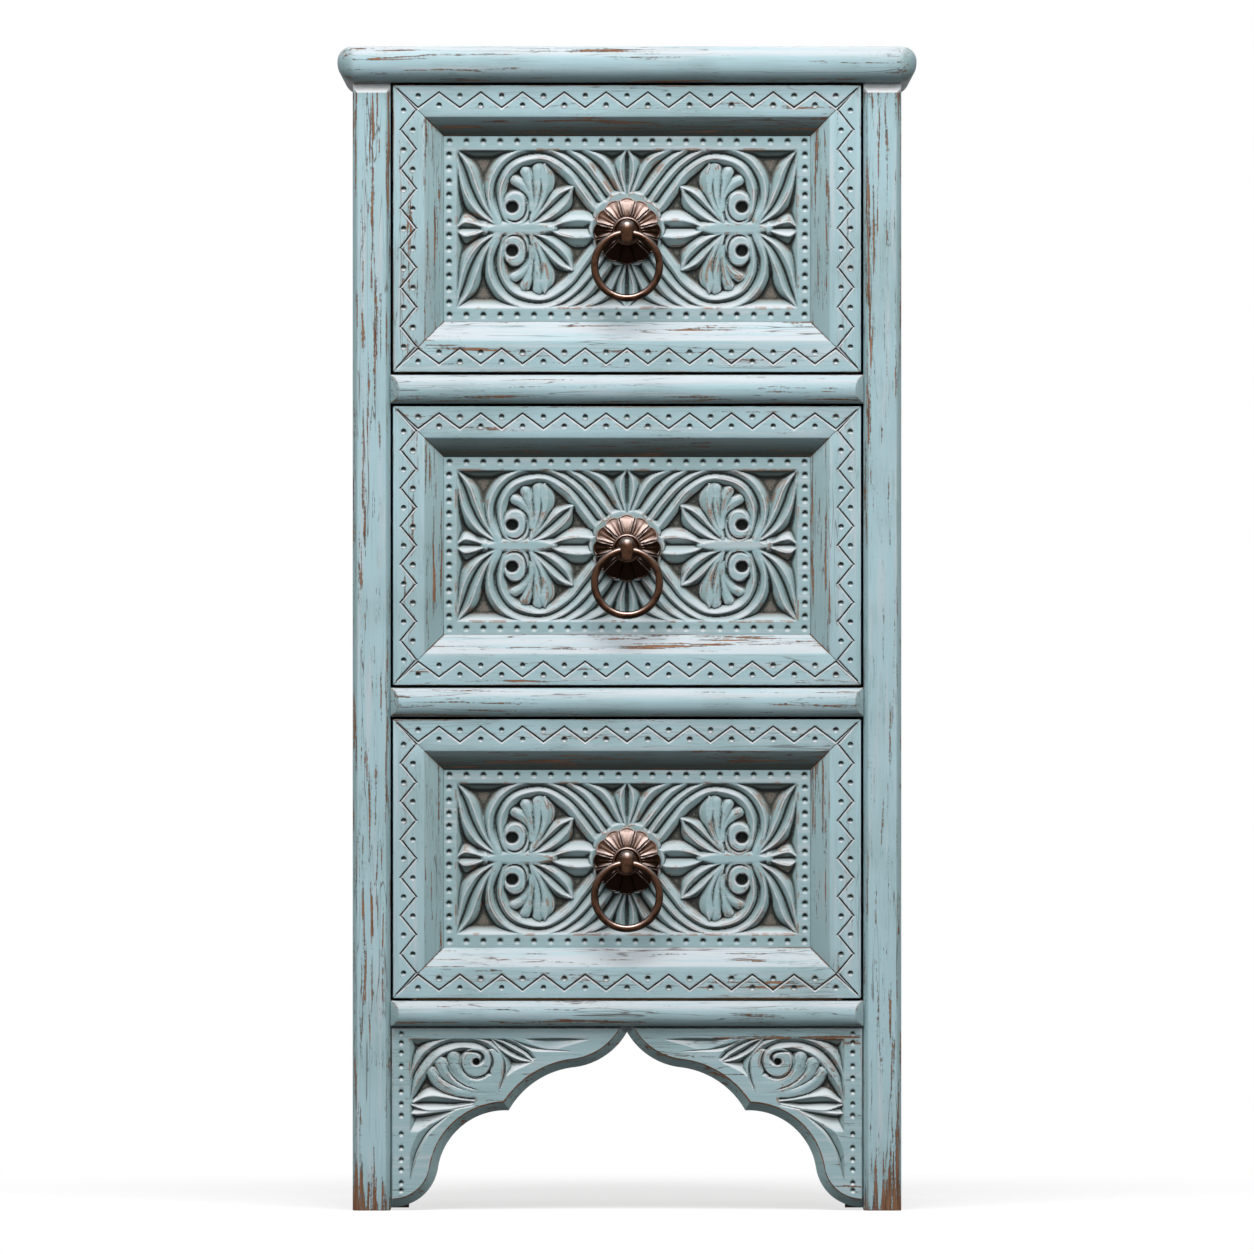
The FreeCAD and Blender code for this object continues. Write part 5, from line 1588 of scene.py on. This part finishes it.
class CHEST_OT_rosettes(ChestPiece, Operator):
    """Build the fluted back plates of the pulls"""

    bl_idname = "chest.rosettes"
    bl_label = "Pull rosettes"

    petals = 12
    steps_per_petal = 18
    rings = 64
    inner = 4.0
    collar = 9.0
    collar_ring = 7.4
    collar_width = 0.75
    collar_rise = 1.2
    notch = 2.1
    lobe_round = 0.75
    rim = 3.0
    bead = 0.6
    bead_width = 0.5
    bead_gap = 0.8
    seam = 0.5
    seam_width = 0.35
    hollow = 0.3
    dish_start = 1.4
    dish_fade = 2.2
    dish_dirt = 0.15
    seam_dirt = 0.7
    thinnest = 0.6
    hole_margin = 0.5
    flutes = 36
    flute = 0.20
    flute_fade = 2.0
    fade = (9.5, 12.5)
    # painted shade over the plate's lower half
    lower_shade_start = -7.5
    lower_shade_fade = 15.0

    def heights(self, radius, tall):
        """Radius, height and masks over the plate, in millimetres."""
        steps = self.petals * self.steps_per_petal
        turn = np.linspace(0, 2 * math.pi, steps + 1)
        share = np.linspace(0, 1, self.rings)[:, None]
        half = math.pi / self.petals
        from_middle = np.abs((turn + half) % (2 * half) - half)
        lobe = np.cos(from_middle / half * math.pi / 2).clip(0) ** self.lobe_round
        outline = radius - self.notch + self.notch * lobe
        r = self.inner + (outline - self.inner)[None] * share
        from_collar = r - self.collar
        out = np.clip(from_collar / (radius - self.collar), 0, 1)
        dome = self.rim + (tall - self.collar_rise - self.rim) * np.cos(out * math.pi / 2)
        collar = self.collar_rise * np.exp(-(((r - self.collar_ring) / self.collar_width) ** 2))
        shown = np.clip((r - self.fade[0]) / (self.fade[1] - self.fade[0]), 0, 1)
        from_seam = (half - from_middle)[None] * r
        from_edge = np.minimum(from_seam, (outline[None] - r) + self.bead_gap / 2)
        bead = self.bead * np.exp(-(((from_edge - self.bead_gap) / self.bead_width) ** 2))
        seam = self.seam * np.exp(-((from_seam / self.seam_width) ** 2))
        dish = self.hollow * np.clip((from_edge - self.dish_start) / self.dish_fade, 0, 1)
        flute = self.flute * np.cos(turn * self.flutes)[None] * (1 - out)
        flute = flute * np.clip(from_collar / self.flute_fade, 0, 1)
        height = dome + collar + shown * (bead - seam - dish) + flute
        height = np.clip(height, self.thinnest, tall)
        crest = np.clip(bead / self.bead * shown + collar / self.collar_rise, 0, 1)
        low = dish / self.hollow * self.dish_dirt + seam / self.seam * self.seam_dirt
        low = np.clip(low, 0, 1) * shown
        # painted shade: the plate darkens towards the bottom, and its crests stay dark there
        below = np.clip((-r * np.cos(turn)[None] - self.lower_shade_start) / self.lower_shade_fade, 0, 1)
        return turn, r, height, {"crest": crest * (1 - below), "hollow": np.maximum(low, below)}

    def execute(self, context):
        for tier in TIERS:
            node = f"{tier}_pull_rosette"
            low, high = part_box(node)
            middle = (low + high) / 2
            radius, tall = (high.z - low.z) / 2 / MM, (high.y - low.y) / MM
            turn, r, height, marks = self.heights(radius, tall)
            across = r * np.sin(turn)[None]
            up = r * np.cos(turn)[None]
            place = np.dstack([across * MM, high.y - height * MM, middle.z + up * MM])
            bm = carved_sheet(place, marks)
            bmesh.ops.remove_doubles(bm, verts=bm.verts[:], dist=WELD)
            reach = (self.inner + self.hole_margin) * MM
            outer = [edge for edge in bm.edges if edge.is_boundary
                     and math.hypot(edge.verts[0].co.x, edge.verts[0].co.z - middle.z) > reach]
            verts, _ = extruded(bm, outer)
            for vert in verts:
                vert.co.y = high.y
            bmesh.ops.holes_fill(bm, edges=bm.edges[:], sides=0)
            make_piece(bm, f"fluted_{node}", f"{tier}_drawer", [node], [bronze("plate")])
        return {"FINISHED"}


class CHEST_OT_knobs(ChestPiece, Operator):
    """Build the knobs of the pulls, each in one piece with its collar and bolt, with an eye for the ring"""

    bl_idname = "chest.knobs"
    bl_label = "Pull knobs"

    drop = [(0, 7.8), (2.5, 7.3), (4.5, 5.6), (5.5, 2.6), (5.5, -0.4), (5.1, -3.6), (4.6, -6.6),
            (3.2, -8.4), (0, -9.0)]
    drop_radius = 5.62
    head_depth = 6.6
    neck_radius = 4.6
    bolt_radius = 2.5
    collar = [(6.8, 0.5), (7.6, 0.7), (8.1, 1.5), (8.8, 2.0), (9.5, 1.6), (9.9, 0.8), (10.0, 0)]
    collar_rise = 2.0
    eye_drop = 1.5
    eye_radius = 2.9
    eye_throat = 1.5
    eye_mouth = 4.4
    eye_reach = 8.0

    def execute(self, context):
        for tier in TIERS:
            node = f"{tier}_pull_knob"
            low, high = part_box(node)
            axis_z = high.z - high.x
            middle = low.y + self.head_depth * MM
            neck = self.head_depth + self.collar_rise
            plate = middle + neck * MM
            tail = (plate - high.y) / MM
            shaft = [(0, neck), (self.neck_radius, neck), (self.neck_radius, self.collar[0][1])]
            shaft += [*curve(self.collar), (self.bolt_radius, 0), (self.bolt_radius, tail), (0, tail)]
            far = self.eye_reach
            half_eye = [(0, -far), (self.eye_mouth, -far), (self.eye_radius, -self.eye_throat)]
            eye = half_eye + [(radius, -height) for radius, height in reversed(half_eye)]
            deeper = Matrix.Scale(self.head_depth / self.drop_radius, 4, (0, 1, 0))
            head = turned(curve(self.drop), Matrix.Translation((0, middle, axis_z)) @ deeper)
            forward = Matrix.Translation((0, plate, axis_z)) @ Matrix.Rotation(RIGHT_ANGLE, 4, "X")
            hole = Matrix.Translation((0, middle, axis_z - self.eye_drop * MM))
            across = hole @ Matrix.Rotation(RIGHT_ANGLE, 4, "Y")
            mesh = shaped(head, [("UNION", turned(shaft, forward)), ("DIFFERENCE", turned(eye, across))])
            bm = bmesh.new()
            bm.from_mesh(mesh)
            bpy.data.meshes.remove(mesh)
            body = f"{tier}_drawer"
            make_piece(bm, f"turned_{node}", body, [node], [bronze("knob")], weld=False)
        return {"FINISHED"}


class CHEST_OT_plain_parts(ChestPiece, Operator):
    """Give the parts that keep their solid shape their finishes"""

    bl_idname = "chest.plain_parts"
    bl_label = "Plain parts"

    def execute(self, context):
        look = context.scene.chest_finish
        wood = {axis: wooden("plain_wood", axis, look.plain_wood, look.plain_wood_dark) for axis in "XYZ"}
        sheet = wooden("sheet_wood", "X", look.sheet_wood, look.sheet_wood_dark)
        wanted = {
            "back_top_rail": wood["X"], "back_bottom_rail": wood["X"], "back_panel": sheet,
            # painted shade: the corner blocks are near-black wood
            "corner_blocks": wooden("shade_dark_wood", "Z", look.dark, look.pitch),
            "drawer_stops": wood["Z"], "top_kickers": wood["Y"],
            "runner_screws": zinc(), "top_screws": zinc(),
        }
        for side in SIDES:
            wanted[f"{side}_side_panel"] = painted("Z", "kept")
            for level in ("top", "bottom"):
                wanted[f"{side}_side_{level}_rail"] = painted("Y", "worn")
        for tier in TIERS:
            for side in SIDES:
                wanted[f"{tier}_{side}_runner"] = wood["Y"]
                wanted[f"{tier}_drawer_{side}_side"] = wood["Y"]
            wanted[f"{tier}_drawer_back"] = wood["X"]
            wanted[f"{tier}_drawer_bottom"] = sheet
            wanted[f"{tier}_pull_ring"] = bronze("ring")
            wanted[f"{tier}_pull_nut"] = zinc()
        for node, material in wanted.items():
            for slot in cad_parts[node].material_slots:
                slot.material = material
        return {"FINISHED"}


class CHEST_OT_stage(ChestPiece, Operator):
    """Set the camera, the floor and the light"""

    bl_idname = "chest.stage"
    bl_label = "Stage"

    sensor = 36.0
    key_tilt = 58.0
    key_reach = 3.0
    key_size = (2.4, 1.5)
    fill_tilt = 32.0
    fill_reach = 3.6
    fill_size = (3.4, 1.6)
    back_tilt = 140.0
    floor_size = 6.0
    floor_turns = 64
    floor_grey = (0.30, 0.30, 0.30)
    floor_pale = (0.34, 0.34, 0.34)
    floor_glow = 0.7
    floor_white = 1.0
    shadow_reach = (0.35, 0.9)
    sky_colour = (1.0, 1.0, 1.0)
    sky_reach = (-0.3, 0.9)
    sky_levels = (0.35, 1.6)

    def lamp(self, name, power, tilt, reach, size):
        """A soft lamp that shines at the chest's middle; tilt counts up from the front and over the top."""
        light = bpy.data.lights.new(name, "AREA")
        light.shape = "RECTANGLE"
        light.size, light.size_y = size
        light.energy = power
        lamp = bpy.data.objects.new(name, light)
        low, high = (Vector(corner) for corner in CAD_BOX)
        target = Vector((0, low.y, (low.z + high.z) / 2))
        angle = math.radians(tilt)
        away = Vector((0, -math.cos(angle), math.sin(angle)))
        lamp.location = target + reach * away
        lamp.rotation_euler = away.to_track_quat("Z", "Y").to_euler()
        bpy.context.scene.collection.objects.link(lamp)

    def seen(self, tree):
        """1 on rays that show a background: from the camera, in metal and through glass."""
        path = add(tree, "ShaderNodeLightPath").outputs
        shown = larger(tree, path["Is Camera Ray"], path["Is Glossy Ray"])
        return larger(tree, shown, path["Is Transmission Ray"])

    def floor(self):
        """A floor that looks white, apart from a soft shadow round the chest."""
        material = bpy.data.materials.new("floor")
        material.use_nodes = True
        tree = material.node_tree
        tree.nodes.clear()
        place = add(tree, "ShaderNodeTexCoord").outputs["Object"]
        near, far = self.shadow_reach
        away = add(tree, "ShaderNodeVectorMath", {0: place}, operation="LENGTH").outputs["Value"]
        open_floor = remap(tree, away, near, far)
        grey, pale = (
            add(tree, "ShaderNodeBsdfDiffuse", {"Color": opaque(tone)}).outputs[0]
            for tone in (self.floor_grey, self.floor_pale)
        )
        glow, white = (
            add(tree, "ShaderNodeEmission", {"Strength": level}).outputs[0]
            for level in (self.floor_glow, self.floor_white)
        )
        close = add(tree, "ShaderNodeAddShader", {0: pale, 1: glow}).outputs[0]
        shown = add(tree, "ShaderNodeMixShader", {0: open_floor, 1: close, 2: white}).outputs[0]
        surface = add(tree, "ShaderNodeMixShader", {0: self.seen(tree), 1: grey, 2: shown}).outputs[0]
        add(tree, "ShaderNodeOutputMaterial", {"Surface": surface})
        bm = bmesh.new()
        bmesh.ops.create_circle(bm, cap_ends=True, segments=self.floor_turns, radius=self.floor_size)
        floor = new_object(bm, "floor", [material])

    def world(self, sky):
        """Even light from all round, brighter from above, that looks white."""
        world = bpy.data.worlds.new("studio")
        bpy.context.scene.world = world
        world.use_nodes = True
        tree = world.node_tree
        tree.nodes.clear()
        way = add(tree, "ShaderNodeTexCoord").outputs["Generated"]
        up = add(tree, "ShaderNodeSeparateXYZ", {0: way}).outputs["Z"]
        level = remap(tree, up, *self.sky_reach, *(sky * level for level in self.sky_levels))
        values = {"Color": opaque(self.sky_colour), "Strength": larger(tree, level, self.seen(tree))}
        background = add(tree, "ShaderNodeBackground", values).outputs[0]
        add(tree, "ShaderNodeOutputWorld", {"Surface": background})

    def camera(self, stage):
        """A long lens straight in front of the chest."""
        data = bpy.data.cameras.new("camera")
        data.sensor_width = self.sensor
        data.lens = self.sensor * stage.camera_distance / stage.view_width
        camera = bpy.data.objects.new("camera", data)
        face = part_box("upper_drawer_frame")[0].y
        camera.location = (0, face - stage.camera_distance, stage.camera_height)
        camera.rotation_euler = (RIGHT_ANGLE, 0, 0)
        bpy.context.scene.collection.objects.link(camera)
        bpy.context.scene.camera = camera

    def execute(self, context):
        stage = context.scene.chest_stage
        self.camera(stage)
        self.lamp("key", stage.key_power, self.key_tilt, self.key_reach, self.key_size)
        self.lamp("fill", stage.fill_power, self.fill_tilt, self.fill_reach, self.fill_size)
        self.lamp("back", stage.back_power, self.back_tilt, self.fill_reach, self.fill_size)
        self.floor()
        self.world(stage.sky)
        context.scene.view_settings.view_transform = "Standard"
        return {"FINISHED"}


OPERATORS = (
    CHEST_OT_stage, CHEST_OT_finishes, CHEST_OT_top_board, CHEST_OT_posts, CHEST_OT_front_rails,
    CHEST_OT_brackets, CHEST_OT_drawer_frames, CHEST_OT_drawer_panels, CHEST_OT_rosettes, CHEST_OT_knobs,
    CHEST_OT_plain_parts,
)
GROUPS = {"chest_finish": ChestFinish, "chest_carving": ChestCarving, "chest_stage": ChestStage}


class CHEST_PT_sidebar(Panel):
    """Lists the chest's sizes, colours and pieces"""

    bl_idname = "CHEST_PT_sidebar"
    bl_label = "Carved chest"
    bl_space_type = "VIEW_3D"
    bl_region_type = "UI"
    bl_category = "Chest"

    def draw(self, context):
        for name, kind in GROUPS.items():
            box = self.layout.box()
            for value in kind.__annotations__:
                box.prop(getattr(context.scene, name), value)
        for operator in OPERATORS:
            self.layout.operator(operator.bl_idname)


def register():
    for kind in (*GROUPS.values(), *OPERATORS, CHEST_PT_sidebar):
        bpy.utils.register_class(kind)
    for name, kind in GROUPS.items():
        setattr(bpy.types.Scene, name, PointerProperty(type=kind))


def unregister():
    for name in GROUPS:
        delattr(bpy.types.Scene, name)
    for kind in reversed((*GROUPS.values(), *OPERATORS, CHEST_PT_sidebar)):
        bpy.utils.unregister_class(kind)


def main():
    register()
    for operator in OPERATORS:
        area, _, name = operator.bl_idname.partition(".")
        getattr(getattr(bpy.ops, area), name)()


if __name__ == "__main__":
    main()
